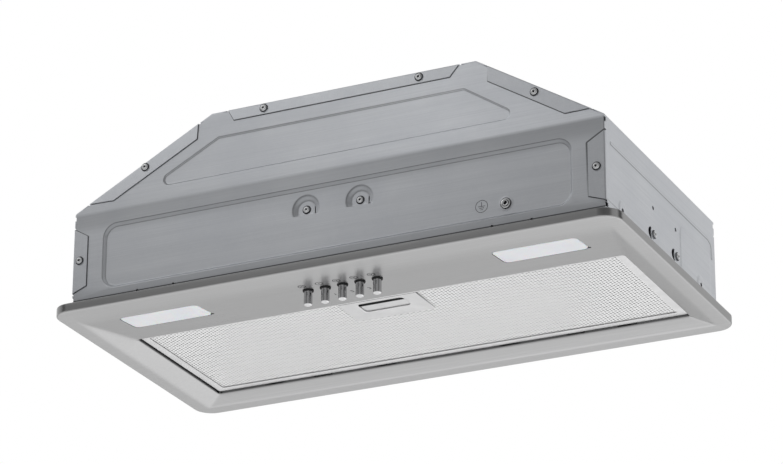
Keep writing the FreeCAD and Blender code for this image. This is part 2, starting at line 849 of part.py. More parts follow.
latch = new_body("filter_latch_plate")
pad(latch, rect(sketch(latch, "XY_Plane", Z(8)), -37, 37, -36.4, 5), 0.8)
pad(latch, rect(sketch(latch, "XY_Plane", Z(8.6)), -22.5, 22.5, -32, 1), 6.6)
pocket(latch, rect(sketch(latch, "XY_Plane", Z(8.8)), -21.5, 21.5, -31, 0), 5.6, ahead=True)
s = sketch(latch, "XY_Plane", Z(8))
rect(s, -21, 21, -30, -12)
pocket(latch, s, 2, ahead=True)
round_edges(latch, 3, lambda e: is_upright(e, 21) and -31 < e.CenterOfMass.y < -11)
s = sketch(latch, "XZ_Plane", 33)
rect(s, -9.4, 9.4, Z(11.6), Z(13.2))
pocket(latch, s, 2.5)

slide = fuse(box(-20.8, 20.8, -25, -13, 9.0, 13.0), box(-9, 9, -46, -24, 11.8, 13.0))
keep(slide, "filter_latch_slide")


def coil(r, wire, turns, length):
    """Compression spring along +Z; the wire's centre starts at the origin."""
    pitch = (length - 2 * wire) / turns
    path = Part.makeHelix(pitch, length - 2 * wire, r)
    section = Part.Wire(Part.makeCircle(wire, Vector(r, 0, 0), Vector(0, 1, 0)))
    sweep = Part.BRepOffsetAPI.MakePipeShell(Part.Wire(path.Edges))
    sweep.setFrenetMode(True)
    sweep.add(section)
    sweep.build()
    sweep.makeSolid()
    return sweep.shape()


feature(
    "filter_latch_spring",
    coil(1.5, 0.25, 8, 12.8),
    Placement(Vector(0, -12.72, num(Z(11.3))), Rotation(Vector(1, 0, 0), -90)),
)

# =====================================================================
# Lamps in the front strip
# =====================================================================
tilt = Rotation(Vector(1, 0, 0), strip_tilt)
LENS_Z = (dish_front - lens_y) * (open_rise / (dish_front - open_front))


def tilted(b, side):
    b.Placement = Placement(Vector(side * num(lens_x), -num(lens_y), num(Z(LENS_Z))), tilt)
    b.setExpression("Placement.Base.x", (side * lens_x).text)
    b.setExpression("Placement.Base.y", (-lens_y).text)
    b.setExpression("Placement.Base.z", Z(LENS_Z).text)


for side, name in ((-1, "left"), (1, "right")):
    lens = new_body("lamp_lens_" + name)
    hw, hd = lens_width / 2, lens_depth / 2
    pad(lens, rect(sketch(lens, "XY_Plane", -0.2), -hw, hw, -hd, hd), 1.6)
    round_edges(lens, lens_corner, lambda e: is_upright(e))
    pad(lens, rect(sketch(lens, "XY_Plane", 1.15), -(hw + 3), hw + 3, -(hd + 3), hd + 3), 1.4)
    tilted(lens, side)
    house = new_body("lamp_housing_" + name)
    pad(house, rect(sketch(house, "XY_Plane", 1.05), -(hw + 6), hw + 6, -(hd + 5), hd + 5), 20)
    pocket(
        house,
        rect(sketch(house, "XY_Plane", 1.05), -(hw + 4.5), hw + 4.5, -(hd + 3.5), hd + 3.5),
        18.5,
        ahead=True,
    )
    tilted(house, side)
    board = new_body("led_board_" + name)
    pad(board, rect(sketch(board, "XY_Plane", 17.95), -(hw - 3), hw - 3, -(hd - 3), hd - 3), 1.6)
    s = sketch(board, "XY_Plane", 17.95)
    for i in range(4):
        rect(s, -28 + 16 * i, -20 + 16 * i, -3, 3)
    pad(board, s, 1.2, back=True)
    tilted(board, side)

# =====================================================================
# Push buttons and their switch
# =====================================================================
bezel = new_body("switch_bezel")
bx0, bx1 = BUTTON_X[0] - 11, BUTTON_X[4] + 12
pad(bezel, rect(sketch(bezel, "XY_Plane", Z(4)), bx0, bx1, -106, -79), 5)
s = sketch(bezel, "XY_Plane", Z(0.4))
for bx in BUTTON_X:
    circle(s, bx, button_y, 4.7)
pad(bezel, s, 4)
s = sketch(bezel, "XY_Plane", Z(0))
for bx in BUTTON_X:
    circle(s, bx, button_y, button_radius + 0.08)
pocket(bezel, s, 10, ahead=True)

keep(
    cut(box(bx0, bx1, -106, -79, 9, 24), box(bx0 + 1.5, bx1 - 1.5, -104.5, -80.5, 8, 22)),
    "switch_housing",
)
keep(box(bx0 - 2, bx1 + 2, -107, -78, 24, 25.6), "switch_board")

br = button_radius
for i, bx in enumerate(BUTTON_X):
    b = new_body("button_%d" % (i + 1))
    s = sketch(b, "XZ_Plane", 0)
    poly(
        s,
        [
            (0, Z(button_tip)),
            (br - 0.6, Z(button_tip)),
            (br, Z(button_tip + 0.6)),
            (br, Z(9.3)),
            (5.2, Z(9.3)),
            (5.2, Z(10.5)),
            (1.4, Z(10.5)),
            (1.4, Z(17)),
            (0, Z(17)),
        ],
    )
    revolve(b, s)
    place(b, bx, button_y, 0)
wound = coil(3.2, 0.35, 5, 11.3)
for i, bx in enumerate(BUTTON_X):
    feature(
        "button_spring_%d" % (i + 1),
        wound.copy(),
        Placement(Vector(num(bx), num(button_y), num(Z(10.9))), Rotation()),
    )

# =====================================================================
# Earth terminal and screws
# =====================================================================
y_field = -(face_y - 3)
rivnut = cut(
    fuse(
        cyl("y", 6.7, 1.2, earth_x, y_field - 1.2, earth_z),
        cyl("y", 3.6, 11, earth_x, y_field - 1.2, earth_z),
    ),
    cyl("y", 2.1, 20, earth_x, y_field - 5, earth_z),
)
keep(rivnut, "earth_rivnut")


def screw_shape(head_r, head_h, shank_r, length):
    """Pan head on the origin plane, shank along -Z, cross recess in the head."""
    head = Part.makeCylinder(head_r, head_h)
    dome = Part.makeSphere(head_r * 1.6, Vector(0, 0, head_h - head_r * 1.6))
    head = head.common(dome)
    shank = Part.makeCylinder(shank_r, length, Vector(0, 0, -length))
    body = head.fuse(shank)
    for w, d in ((head_r * 1.1, 0.9), (0.9, head_r * 1.1)):
        body = body.cut(Part.makeBox(w, d, 1.2, Vector(-w / 2, -d / 2, head_h - 1.0)))
    return body.removeSplitter()


def screws(label, shape, spots):
    made = []
    for pos, rot in spots:
        c = shape.copy()
        c.Placement = Placement(pos, rot)
        made.append(c)
    return feature(label, Part.makeCompound(made))


out_front = Rotation(Vector(1, 0, 0), 90)
out_back = Rotation(Vector(1, 0, 0), -90)
out_left = Rotation(Vector(0, 1, 0), -90)
out_right = Rotation(Vector(0, 1, 0), 90)
pan = screw_shape(4, 1.8, 1.5, 9)
hc = num(half_case)
zs = num(seat)
spots = []
for sx, sz in SCREWS:
    spots.append((Vector(sx, -hc, sz - zs), out_front))
    spots.append((Vector(sx, hc, sz - zs), out_back))
for sx, sz in ((-25, 62.7), (25.3, 62.7)):
    spots.append((Vector(sx, -(num(face_y) - 3), sz - zs), out_front))
screws("panel_screws", pan, spots)
cs = num(case_side)
spots = []
for sy, sz in ((-21, 29.4), (32, 29.4)):
    spots.append((Vector(-cs, sy, sz - zs), out_left))
    spots.append((Vector(cs, sy, sz - zs), out_right))
screws("side_screws", pan, spots)
small = screw_shape(3, 1.5, 1.25, 7)
spots = []
for ang, _ in COLLAR_SCREWS:
    a = math.radians(ang)
    spots.append(
        (
            Vector(num(duct_x) + 64 * math.cos(a), num(duct_y) + 64 * math.sin(a), num(Z(case_top + 2))),
            Rotation(),
        )
    )
screws("collar_screws", small, spots)

# =====================================================================
# Checks and export
# =====================================================================
doc.recompute()
bad = [o.Name for o in doc.Objects if any(w in o.State for w in ("Invalid", "Error"))]
if bad:
    raise ValueError("failed: " + ", ".join(bad))
labels = [label for label, _ in nodes]
if len(set(labels)) != len(labels) or len(labels) > 60:
    raise ValueError("labels")
os.makedirs("parts", exist_ok=True)
wrong = []
for label, o in nodes:
    shape = o.Shape
    if shape.isNull() or not shape.isValid() or not shape.Solids:
        wrong.append(label)
    print("%-24s solids %2d  volume %10.1f" % (label, len(shape.Solids), shape.Volume))
if wrong:
    raise ValueError("bad shapes: " + ", ".join(wrong))
for label, o in nodes:
    o.Shape.exportStep("parts/%s.step" % label)
print(len(nodes), "nodes")
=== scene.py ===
import bisect
import json
import math

import bmesh
import bpy
import numpy as np
from mathutils import Matrix, Vector
from mathutils.geometry import delaunay_2d_cdt

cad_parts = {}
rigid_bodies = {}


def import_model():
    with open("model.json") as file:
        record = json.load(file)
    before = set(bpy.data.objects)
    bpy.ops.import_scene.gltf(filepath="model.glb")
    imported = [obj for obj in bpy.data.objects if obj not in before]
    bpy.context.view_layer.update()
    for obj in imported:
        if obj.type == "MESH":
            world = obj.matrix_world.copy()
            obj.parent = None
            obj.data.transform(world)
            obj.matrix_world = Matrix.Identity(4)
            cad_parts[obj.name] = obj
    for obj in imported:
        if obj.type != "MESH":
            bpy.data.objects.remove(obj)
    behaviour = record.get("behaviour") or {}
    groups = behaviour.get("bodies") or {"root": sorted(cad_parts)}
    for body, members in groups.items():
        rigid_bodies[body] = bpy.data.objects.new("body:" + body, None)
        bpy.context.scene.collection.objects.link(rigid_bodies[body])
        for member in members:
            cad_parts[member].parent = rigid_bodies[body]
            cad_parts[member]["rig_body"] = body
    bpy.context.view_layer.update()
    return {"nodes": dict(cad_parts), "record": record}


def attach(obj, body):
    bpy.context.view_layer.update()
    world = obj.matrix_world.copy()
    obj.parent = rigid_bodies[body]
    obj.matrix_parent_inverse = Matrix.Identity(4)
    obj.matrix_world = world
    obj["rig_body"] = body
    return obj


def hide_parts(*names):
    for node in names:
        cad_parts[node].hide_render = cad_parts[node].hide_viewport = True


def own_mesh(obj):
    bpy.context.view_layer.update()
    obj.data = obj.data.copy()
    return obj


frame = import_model()
nodes = frame["nodes"]
SEAT = 8.0  # all lengths below are in millimetres, heights measured from the rim's lower face


def P(x, y, z):
    return Vector((x / 1000.0, y / 1000.0, (z - SEAT) / 1000.0))


# ---------------------------------------------------------------- camera
F_PX, AZ, EL, ROLL = 3565.9128, 25.5436, -22.8808, 0.2175
DIST, TX, TZ = 3077.4641, -2.7481, 77.5937
a, e, r = math.radians(AZ), math.radians(EL), math.radians(ROLL)
back = Vector((math.sin(a) * math.cos(e), -math.cos(a) * math.cos(e), math.sin(e)))
right = Vector((math.cos(a), math.sin(a), 0))
up = back.cross(right)
right2 = right * math.cos(r) + up * math.sin(r)
up2 = -right * math.sin(r) + up * math.cos(r)
eye = back * DIST + right2 * TX + up2 * TZ
eye.z -= SEAT
cam_data = bpy.data.cameras.new("photo_camera")
cam = bpy.data.objects.new("photo_camera", cam_data)
bpy.context.scene.collection.objects.link(cam)
cam_data.sensor_fit = "HORIZONTAL"
cam_data.sensor_width = 36.0
cam_data.lens = F_PX * 36.0 / 783.0
cam_data.clip_start = 0.05
cam_data.clip_end = 200.0
m = Matrix((right2, up2, back)).transposed().to_4x4()
m.translation = eye / 1000.0
cam.matrix_world = m
bpy.context.scene.camera = cam


# ---------------------------------------------------------------- materials
class Mat:
    """A procedural material: node helpers around one Principled shader."""

    def __init__(self, name, color, metallic=0.0, rough=0.5, **sockets):
        self.m = bpy.data.materials.new(name)
        self.m.use_nodes = True
        self.n = self.m.node_tree.nodes
        self.l = self.m.node_tree.links
        self.b = self.n["Principled BSDF"]
        self.b.inputs["Base Color"].default_value = (*color, 1)
        self.b.inputs["Metallic"].default_value = metallic
        self.b.inputs["Roughness"].default_value = rough
        for k, v in sockets.items():
            self.b.inputs[k.replace("_", " ")].default_value = v
        self.co = self.n.new("ShaderNodeTexCoord").outputs["Object"]
        self._normal = None
        self.m.diffuse_color = (*color, 1)

    def _in(self, node, key, value):
        s = node.inputs[key]
        if isinstance(value, bpy.types.NodeSocket):
            self.l.new(value, s)
        elif value is not None:
            s.default_value = value

    def map(self, scale, rot=(0, 0, 0), loc=(0, 0, 0)):
        k = self.n.new("ShaderNodeMapping")
        k.inputs["Scale"].default_value = scale
        k.inputs["Rotation"].default_value = rot
        k.inputs["Location"].default_value = loc
        self.l.new(self.co, k.inputs["Vector"])
        return k.outputs[0]

    def noise(self, scale=(1, 1, 1), detail=4.0, rough=0.55, distort=0.0, rot=(0, 0, 0)):
        k = self.n.new("ShaderNodeTexNoise")
        k.inputs["Scale"].default_value = 1.0
        k.inputs["Detail"].default_value = detail
        k.inputs["Roughness"].default_value = rough
        k.inputs["Distortion"].default_value = distort
        self.l.new(self.map(scale, rot), k.inputs["Vector"])
        return k.outputs["Fac"]

    def voronoi(self, scale, feature="F1", rand=1.0):
        k = self.n.new("ShaderNodeTexVoronoi")
        k.feature = feature
        k.inputs["Scale"].default_value = 1.0
        k.inputs["Randomness"].default_value = rand
        self.l.new(self.map(scale), k.inputs["Vector"])
        return k.outputs["Distance"]

    def cells(self, scale):
        k = self.n.new("ShaderNodeTexVoronoi")
        k.inputs["Scale"].default_value = 1.0
        self.l.new(self.map(scale), k.inputs["Vector"])
        s = self.n.new("ShaderNodeSeparateColor")
        self.l.new(k.outputs["Color"], s.inputs[0])
        return s.outputs[0]

    def ramp(self, fac, *stops):
        k = self.n.new("ShaderNodeValToRGB")
        r_ = k.color_ramp
        while len(r_.elements) < len(stops):
            r_.elements.new(0.5)
        for el, (pos, col) in zip(r_.elements, stops):
            el.position = pos
            c = col if isinstance(col, (tuple, list)) else (col, col, col)
            el.color = (*c, 1)
        self._in(k, "Fac", fac)
        return k.outputs["Color"]

    def math(self, op, x, y=None, clamp=False):
        k = self.n.new("ShaderNodeMath")
        k.operation = op
        k.use_clamp = clamp
        self._in(k, 0, x)
        if y is not None:
            self._in(k, 1, y)
        return k.outputs[0]

    def mix(self, fac, x, y, blend="MIX"):
        k = self.n.new("ShaderNodeMix")
        k.data_type = "RGBA"
        k.blend_type = blend
        self._in(k, 0, fac)
        for idx, v in ((6, x), (7, y)):
            if isinstance(v, (tuple, list)):
                v = (*v[:3], 1)
            self._in(k, idx, v)
        return k.outputs[2]

    def range(self, fac, lo, hi):
        k = self.n.new("ShaderNodeMapRange")
        k.inputs["To Min"].default_value = lo
        k.inputs["To Max"].default_value = hi
        self.l.new(fac, k.inputs["Value"])
        return k.outputs[0]

    def bump(self, height, strength=0.3, dist=0.0002):
        k = self.n.new("ShaderNodeBump")
        k.inputs["Strength"].default_value = strength
        k.inputs["Distance"].default_value = dist
        self.l.new(height, k.inputs["Height"])
        if self._normal is not None:
            self.l.new(self._normal, k.inputs["Normal"])
        self._normal = k.outputs[0]
        self.l.new(self._normal, self.b.inputs["Normal"])

    def seam(self, col, depth=0.93):
        """Painted shade: darkens the colour where the mesh carries a painted shade value, standing in for shade in
        gaps, joints and press lines and for dark reflections.
        """
        k = self.n.new("ShaderNodeAttribute")
        k.attribute_name = "seam"
        return self.mix(self.math("MULTIPLY", k.outputs["Fac"], depth), col, (0.012, 0.012, 0.013))

    def facing_z(self):
        k = self.n.new("ShaderNodeNewGeometry")
        s = self.n.new("ShaderNodeSeparateXYZ")
        self.l.new(k.outputs["Normal"], s.inputs[0])
        return s.outputs["Z"]

    def color(self, out):
        self.l.new(out, self.b.inputs["Base Color"])

    def rough(self, out):
        self.l.new(out, self.b.inputs["Roughness"])


def galvanised(name, along, painted_light_gain=1.0):
    """Zinc coated sheet: cool grey, rolling streaks along one axis, faint mottling; painted highlight and painted shade
    by facing and height, and an overall painted light gain.
    """
    s = {"x": (9, 1000, 1000), "y": (1000, 9, 1000)}[along]
    s2 = {"x": (3, 170, 170), "y": (170, 3, 170)}[along]
    g = Mat(name, (0.60, 0.615, 0.64), 0.8, 0.4)
    fine = g.noise(s, 6, 0.62)
    broad = g.noise(s2, 4, 0.5)
    cloud = g.noise((16, 16, 24), 4, 0.55, 0.5)
    spangle = g.cells((340, 340, 340))
    col = g.mix(g.ramp(fine, (0.3, 0.0), (0.72, 1.0)), (0.585, 0.601, 0.630), (0.670, 0.687, 0.716))
    col = g.mix(g.ramp(broad, (0.4, 0.0), (0.75, 0.4)), col, (0.71, 0.726, 0.752))
    col = g.mix(g.ramp(cloud, (0.35, 0.0), (0.75, 0.5)), col, (0.575, 0.596, 0.637))
    col = g.mix(g.ramp(spangle, (0.0, 0.0), (1.0, 0.12)), col, (0.70, 0.715, 0.735))
    # painted highlight and painted shade: the colour is lighter on faces that turn up and darker on faces that turn
    # down, so press lines and bends read as lit and shaded
    turn = g.math("MULTIPLY_ADD", g.facing_z(), 0.5)
    turn.node.inputs[2].default_value = 0.5
    if along == "x":
        col = g.mix(1.0, col, g.ramp(turn, (0.14, 0.70), (0.30, 0.68), (0.42, 0.74), (0.475, 0.86), (0.53, 0.86), (0.64, 1.0), (0.86, 1.0), (0.95, 0.86)), "MULTIPLY")
        sep_ = g.n.new("ShaderNodeSeparateXYZ")
        g.l.new(g.co, sep_.inputs[0])
        # painted shade and painted light: heights 64 to 164 mm over the rim; a darker band just under the shoulder,
        # where the panel bends very slightly, and a gradient across the panel
        rise = g.math("MULTIPLY_ADD", sep_.outputs["Z"], 10.0)
        rise.node.inputs[2].default_value = -0.56
        across = g.math("MULTIPLY_ADD", sep_.outputs["X"], 2.0)
        across.node.inputs[2].default_value = 0.5
        col = g.mix(1.0, col, g.ramp(rise, (0.10, 0.86), (0.20, 0.67), (0.295, 0.64), (0.33, 1.0), (0.51, 0.98), (0.76, 0.96)), "MULTIPLY")
        # painted light: darker to the left and lighter to the right, more strongly above the shoulder
        wide = g.ramp(across, (0.16, 0.79), (0.484, 0.864), (0.71, 1.0))
        low_ = g.ramp(across, (0.1, 0.865), (0.5, 0.89), (0.9, 0.845))
        col = g.mix(1.0, col, g.mix(g.ramp(rise, (0.295, 0.0), (0.33, 1.0)), low_, wide), "MULTIPLY")
        painted_light_gain = 1.51
    else:
        col = g.mix(1.0, col, g.ramp(turn, (0.14, 0.9), (0.26, 0.86), (0.38, 0.72), (0.44, 0.80), (0.475, 1.0), (0.53, 1.0), (0.66, 0.9), (0.82, 0.92), (0.9, 1.0)), "MULTIPLY")
    # painted light: a gain lightens the whole sheet; the side copy is lighter than the panels, as if lit more
    if painted_light_gain != 1.0:
        col = g.mix(1.0, col, (painted_light_gain, painted_light_gain, painted_light_gain), "MULTIPLY")
    g.color(g.seam(col))
    g.rough(g.range(g.mix(0.6, fine, cloud), 0.34, 0.47))
    g.bump(fine, 0.07, 0.0001)
    g.bump(g.noise((140, 140, 140), 3, 0.5), 0.03, 0.0003)
    return g.m


def satin_steel(name, along="x", base=(0.60, 0.595, 0.585), rough=(0.24, 0.34), bump=0.05):
    """Pressed stainless sheet with a fine satin grain."""
    s = {"x": (10, 1500, 1500), "y": (1500, 10, 1500), "z": (1500, 1500, 10)}[along]
    g = Mat(name, base, 1.0, sum(rough) / 2)
    fine = g.noise(s, 5, 0.6)
    smudge = g.noise((9, 9, 9), 3, 0.5, 0.4)
    hi = tuple(min(1, c * 1.06) for c in base)
    lo = tuple(c * 0.94 for c in base)
    g.color(g.seam(g.mix(g.ramp(fine, (0.3, 0.0), (0.7, 1.0)), lo, hi)))
    g.rough(g.range(g.mix(0.5, fine, smudge), *rough))
    g.bump(fine, bump, 0.00008)
    return g.m


def bright_metal(name, base, rough=(0.12, 0.3), metallic=1.0, scale=120, bump=0.08):
    g = Mat(name, base, metallic, sum(rough) / 2)
    f = g.noise((scale, scale, scale), 4, 0.55)
    lo = tuple(c * 0.88 for c in base)
    g.color(g.seam(g.mix(g.ramp(f, (0.35, 0.0), (0.7, 1.0)), lo, base)))
    g.rough(g.range(f, *rough))
    g.bump(g.noise((scale * 6,) * 3, 3, 0.5), bump, 0.00008)
    return g.m


def foil(name):
    """Fine aluminium foil: bright, with a barely uneven surface."""
    g = Mat(name, (0.95, 0.95, 0.952), 0.55, 0.42)
    f = g.noise((700, 700, 700), 3, 0.5)
    w = g.noise((9, 9, 9), 2, 0.5)
    col = g.mix(g.ramp(f, (0.3, 0.0), (0.7, 1.0)), (0.92, 0.92, 0.922), (0.97, 0.97, 0.97))
    g.color(g.mix(g.ramp(w, (0.3, 0.0), (0.7, 0.25)), col, (0.85, 0.85, 0.855)))
    g.rough(g.range(f, 0.36, 0.48))
    g.bump(f, 0.05, 0.00005)
    return g.m


def plastic(name, base, rough=(0.32, 0.5), grain=1400, bump=0.1, **sockets):
    g = Mat(name, base, 0.0, sum(rough) / 2, **sockets)
    f = g.noise((60, 60, 60), 3, 0.5)
    hi = tuple(min(1, c * 1.12 + 0.004) for c in base)
    g.color(g.mix(g.ramp(f, (0.35, 0.0), (0.7, 1.0)), base, hi))
    g.rough(g.range(f, *rough))
    g.bump(g.noise((grain,) * 3, 2, 0.5), bump, 0.00006)
    return g.m


def board_green(name):
    g = Mat(name, (0.05, 0.19, 0.09), 0.0, 0.35, Coat_Weight=0.4)
    tr = g.cells((420, 420, 420))
    g.color(g.mix(g.ramp(tr, (0.45, 0.0), (0.5, 1.0)), (0.035, 0.15, 0.07), (0.06, 0.24, 0.11)))
    g.bump(tr, 0.2, 0.00005)
    return g.m


def laminations(name):
    g = Mat(name, (0.17, 0.165, 0.16), 0.7, 0.5)
    w = g.n.new("ShaderNodeTexWave")
    w.inputs["Scale"].default_value = 1.0
    g.l.new(g.map((2000, 1, 1)), w.inputs["Vector"])
    g.color(g.mix(w.outputs["Fac"], (0.11, 0.105, 0.10), (0.24, 0.235, 0.225)))
    g.bump(w.outputs["Fac"], 0.4, 0.0002)
    return g.m


def light_panel(name):
    """Milky diffuser: satin white with a faint cool cast."""
    g = Mat(name, (0.88, 0.885, 0.92), 0.0, 0.3, Subsurface_Weight=0.25, Subsurface_Scale=0.004, Coat_Weight=0.15)
    f = g.noise((30, 30, 30), 3, 0.5)
    g.color(g.mix(g.ramp(f, (0.35, 0.0), (0.7, 1.0)), (0.86, 0.865, 0.905), (0.90, 0.905, 0.935)))
    g.rough(g.range(f, 0.25, 0.38))
    g.bump(g.noise((900, 900, 900), 2, 0.5), 0.05, 0.00005)
    return g.m


M = {
    "galvanised": galvanised("galvanised_x", "x"),
    # the side sheet is a lighter copy of the galvanised material: painted light, as if the sides were lit more
    "galvanised_side": galvanised("galvanised_y", "y", 1.12),
    "stainless": satin_steel("stainless_satin", "x", (0.455, 0.455, 0.457)),
    "zinc_parts": bright_metal("zinc_plated", (0.80, 0.81, 0.82), (0.22, 0.4)),
    "chrome": bright_metal("chrome_plated", (0.80, 0.80, 0.81), (0.05, 0.12), scale=60, bump=0.02),
    "filter_metal": bright_metal("filter_aluminium", (0.78, 0.78, 0.785), (0.3, 0.42), 0.8, 60, 0.03),
    "filter_mesh": foil("filter_foil"),
    "insert": bright_metal("dulled_zinc", (0.30, 0.30, 0.30), (0.3, 0.45)),
    "latch_sheet": bright_metal("latch_aluminium", (0.72, 0.72, 0.725), (0.3, 0.42), 0.75, 60, 0.03),
    # ink is the printed signs, and also the black of the painted shade rings around the screws and the earth insert
    "ink": plastic("ink_and_painted_shade", (0.03, 0.03, 0.033), (0.5, 0.65), Specular_IOR_Level=0.2),
    "lens": light_panel("milky_lens"),
    "black_plastic": plastic("black_moulded", (0.012, 0.012, 0.013), (0.45, 0.6), Specular_IOR_Level=0.25),
    "grey_plastic": plastic("grey_moulded", (0.20, 0.205, 0.21)),
    "fan_plastic": plastic("fan_moulded", (0.055, 0.055, 0.06), (0.3, 0.45)),
    "motor_steel": bright_metal("motor_paint", (0.16, 0.165, 0.18), (0.35, 0.5), 0.4),
    "lamination": laminations("core_sheets"),
    "board": board_green("circuit_board"),
    "spring_steel": bright_metal("spring_wire", (0.5, 0.5, 0.51), (0.2, 0.35)),
    "white_plastic": plastic("white_moulded", (0.74, 0.74, 0.72), (0.35, 0.5)),
    "capacitor": plastic("capacitor_can", (0.66, 0.66, 0.64), (0.25, 0.4), Coat_Weight=0.3),
    "brass": bright_metal("plated_insert", (0.60, 0.59, 0.55), (0.2, 0.35)),
}


def dress(node, mat):
    o = nodes[node]
    o.data.materials.clear()
    o.data.materials.append(mat)


slot_of = {}
for part in frame["record"]["subparts"]:
    slot_of[part["node"]] = part["material_slot"]

for n_, o_ in nodes.items():
    s_ = slot_of.get(n_)
    if n_ == "wrapper_shell":
        dress(n_, M["galvanised_side"])
    elif s_ in M:
        dress(n_, M[s_])


# ---------------------------------------------------------------- mesh helpers
COLL = bpy.context.scene.collection


def freeze(o):
    """Applies the object's modifiers to its mesh."""
    bpy.context.view_layer.update()
    me = bpy.data.meshes.new_from_object(o.evaluated_get(bpy.context.evaluated_depsgraph_get()))
    o.modifiers.clear()
    o.data = me
    return o


def piece(name, verts, faces, mat, body="housing", slot=None, replaces=(), thick=None, angle=34, bevel=None, seg=2, closed=False, weld=2e-6, mm=True):
    """A new mesh object from rim-frame millimetres. thick makes a sheet of it, away from its normals."""
    me = bpy.data.meshes.new(name)
    if mm:
        verts = [P(*v) for v in verts]
    me.from_pydata([tuple(v) for v in verts], [], [tuple(f) for f in faces])
    bm = bmesh.new()
    bm.from_mesh(me)
    bmesh.ops.remove_doubles(bm, verts=bm.verts, dist=weld)
    bmesh.ops.dissolve_degenerate(bm, edges=bm.edges, dist=1e-7)
    if closed:
        bmesh.ops.recalc_face_normals(bm, faces=bm.faces)
    bm.to_mesh(me)
    bm.free()
    o = bpy.data.objects.new(name, me)
    COLL.objects.link(o)
    if thick:
        s = o.modifiers.new("sheet", "SOLIDIFY")
        s.thickness = thick / 1000.0
        s.offset = -1
        s.use_even_offset = True
        s.use_quality_normals = True
        freeze(o)
    if bevel:
        b = o.modifiers.new("edges", "BEVEL")
        b.width = bevel / 1000.0
        b.segments = seg
        b.limit_method = "ANGLE"
        b.angle_limit = math.radians(35)
        b.use_clamp_overlap = True
        b.miter_outer = "MITER_ARC"
        freeze(o)
    me = o.data
    me.name = name
    me.materials.clear()
    me.materials.append(mat)
    me.shade_smooth()
    me.set_sharp_from_angle(angle=math.radians(angle))
    w = o.modifiers.new("shading", "WEIGHTED_NORMAL")
    w.keep_sharp = True
    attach(o, body)
    if replaces:
        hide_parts(*replaces)
    return o


def paint(o, fn):
    """Stores fn(x, y, z), from rim-frame millimetres, as the mesh's painted shade value, which darkens its colour."""
    at_ = o.data.attributes.new("seam", "FLOAT", "POINT")
    vals = [min(1.0, max(0.0, fn(v.co.x * 1000, v.co.y * 1000, v.co.z * 1000 + SEAT))) for v in o.data.vertices]
    at_.data.foreach_set("value", vals)


def refine(node, mat, bevel=0.4, seg=2, angle=34, body=None, slot=None, name=None):
    """The CAD node's own solid with softened edges and clean shading, in the node's place."""
    src = nodes[node]
    bm = bmesh.new()
    bm.from_mesh(src.data)
    bmesh.ops.remove_doubles(bm, verts=bm.verts, dist=2e-6)
    bmesh.ops.dissolve_degenerate(bm, edges=bm.edges, dist=1e-7)
    bmesh.ops.dissolve_limit(bm, angle_limit=math.radians(1.0), verts=bm.verts, edges=bm.edges)
    v = [x.co.copy() for x in bm.verts]
    bm.verts.index_update()
    f = [[x.index for x in fc.verts] for fc in bm.faces]
    bm.free()
    return piece(
        name or node + "_looks", v, f, mat, src["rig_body"], slot or slot_of[node], (node,), bevel=bevel, seg=seg, angle=angle, mm=False, closed=False
    )


def inside(poly, pts):
    x, y = pts[:, 0], pts[:, 1]
    c = np.zeros(len(pts), bool)
    n = len(poly)
    for i in range(n):
        x0, y0 = poly[i][0], poly[i][1]
        x1, y1 = poly[(i + 1) % n][0], poly[(i + 1) % n][1]
        if y0 == y1:
            continue
        c ^= ((y0 > y) != (y1 > y)) & (x < (x1 - x0) * (y - y0) / (y1 - y0) + x0)
    return c


def seg_dist(px, py, ax, ay, bx, by):
    dx, dy = bx - ax, by - ay
    q = dx * dx + dy * dy
    t = 0.0 if q == 0 else max(0.0, min(1.0, ((px - ax) * dx + (py - ay) * dy) / q))
    return math.hypot(px - ax - t * dx, py - ay - t * dy)


class Round:
    """A convex outline grown by r from a skeleton (1 point, 2 points or a polygon, anticlockwise)."""

    def __init__(self, pts, r):
        self.p = [(float(x), float(y)) for x, y in pts]
        self.r = float(r)

    def sd(self, x, y):
        p = self.p
        n = len(p)
        if n == 1:
            return math.hypot(x - p[0][0], y - p[0][1]) - self.r
        d = min(seg_dist(x, y, *p[i], *p[(i + 1) % n]) for i in range(n))
        if n > 2:
            isin = True
            for i in range(n):
                (ax, ay), (bx, by) = p[i], p[(i + 1) % n]
                if (bx - ax) * (y - ay) - (by - ay) * (x - ax) < 0:
                    isin = False
                    break
            if isin:
                d = -d
        return d - self.r

    def loop(self, inset=0.0, n=6):
        """Points at that distance inside the outline."""
        r = self.r - inset
        p = self.p
        k = len(p)
        if k == 1:
            return [(p[0][0] + r * math.cos(2 * math.pi * i / (4 * n)), p[0][1] + r * math.sin(2 * math.pi * i / (4 * n))) for i in range(4 * n)]
        out = []
        for i in range(k):
            (ax, ay), (bx, by), (cx, cy) = p[i - 1], p[i], p[(i + 1) % k]
            a0 = math.atan2(by - ay, bx - ax) - math.pi / 2
            a1 = math.atan2(cy - by, cx - bx) - math.pi / 2
            turn = (a1 - a0) % (2 * math.pi)
            m_ = n if k > 2 else 2 * n
            for j in range(m_ + 1):
                g = a0 + turn * j / m_
                out.append((bx + r * math.cos(g), by + r * math.sin(g)))
        return out


def rect_round(x0, x1, y0, y1, r):
    return Round([(x0 + r, y0 + r), (x1 - r, y0 + r), (x1 - r, y1 - r), (x0 + r, y1 - r)], r)


def ease(t):
    t = max(0.0, min(1.0, t))
    return t * t * (3 - 2 * t)


def step(sd, width):
    """1 inside an outline, 0 outside, eased over width."""
    return ease(0.5 - sd / width)


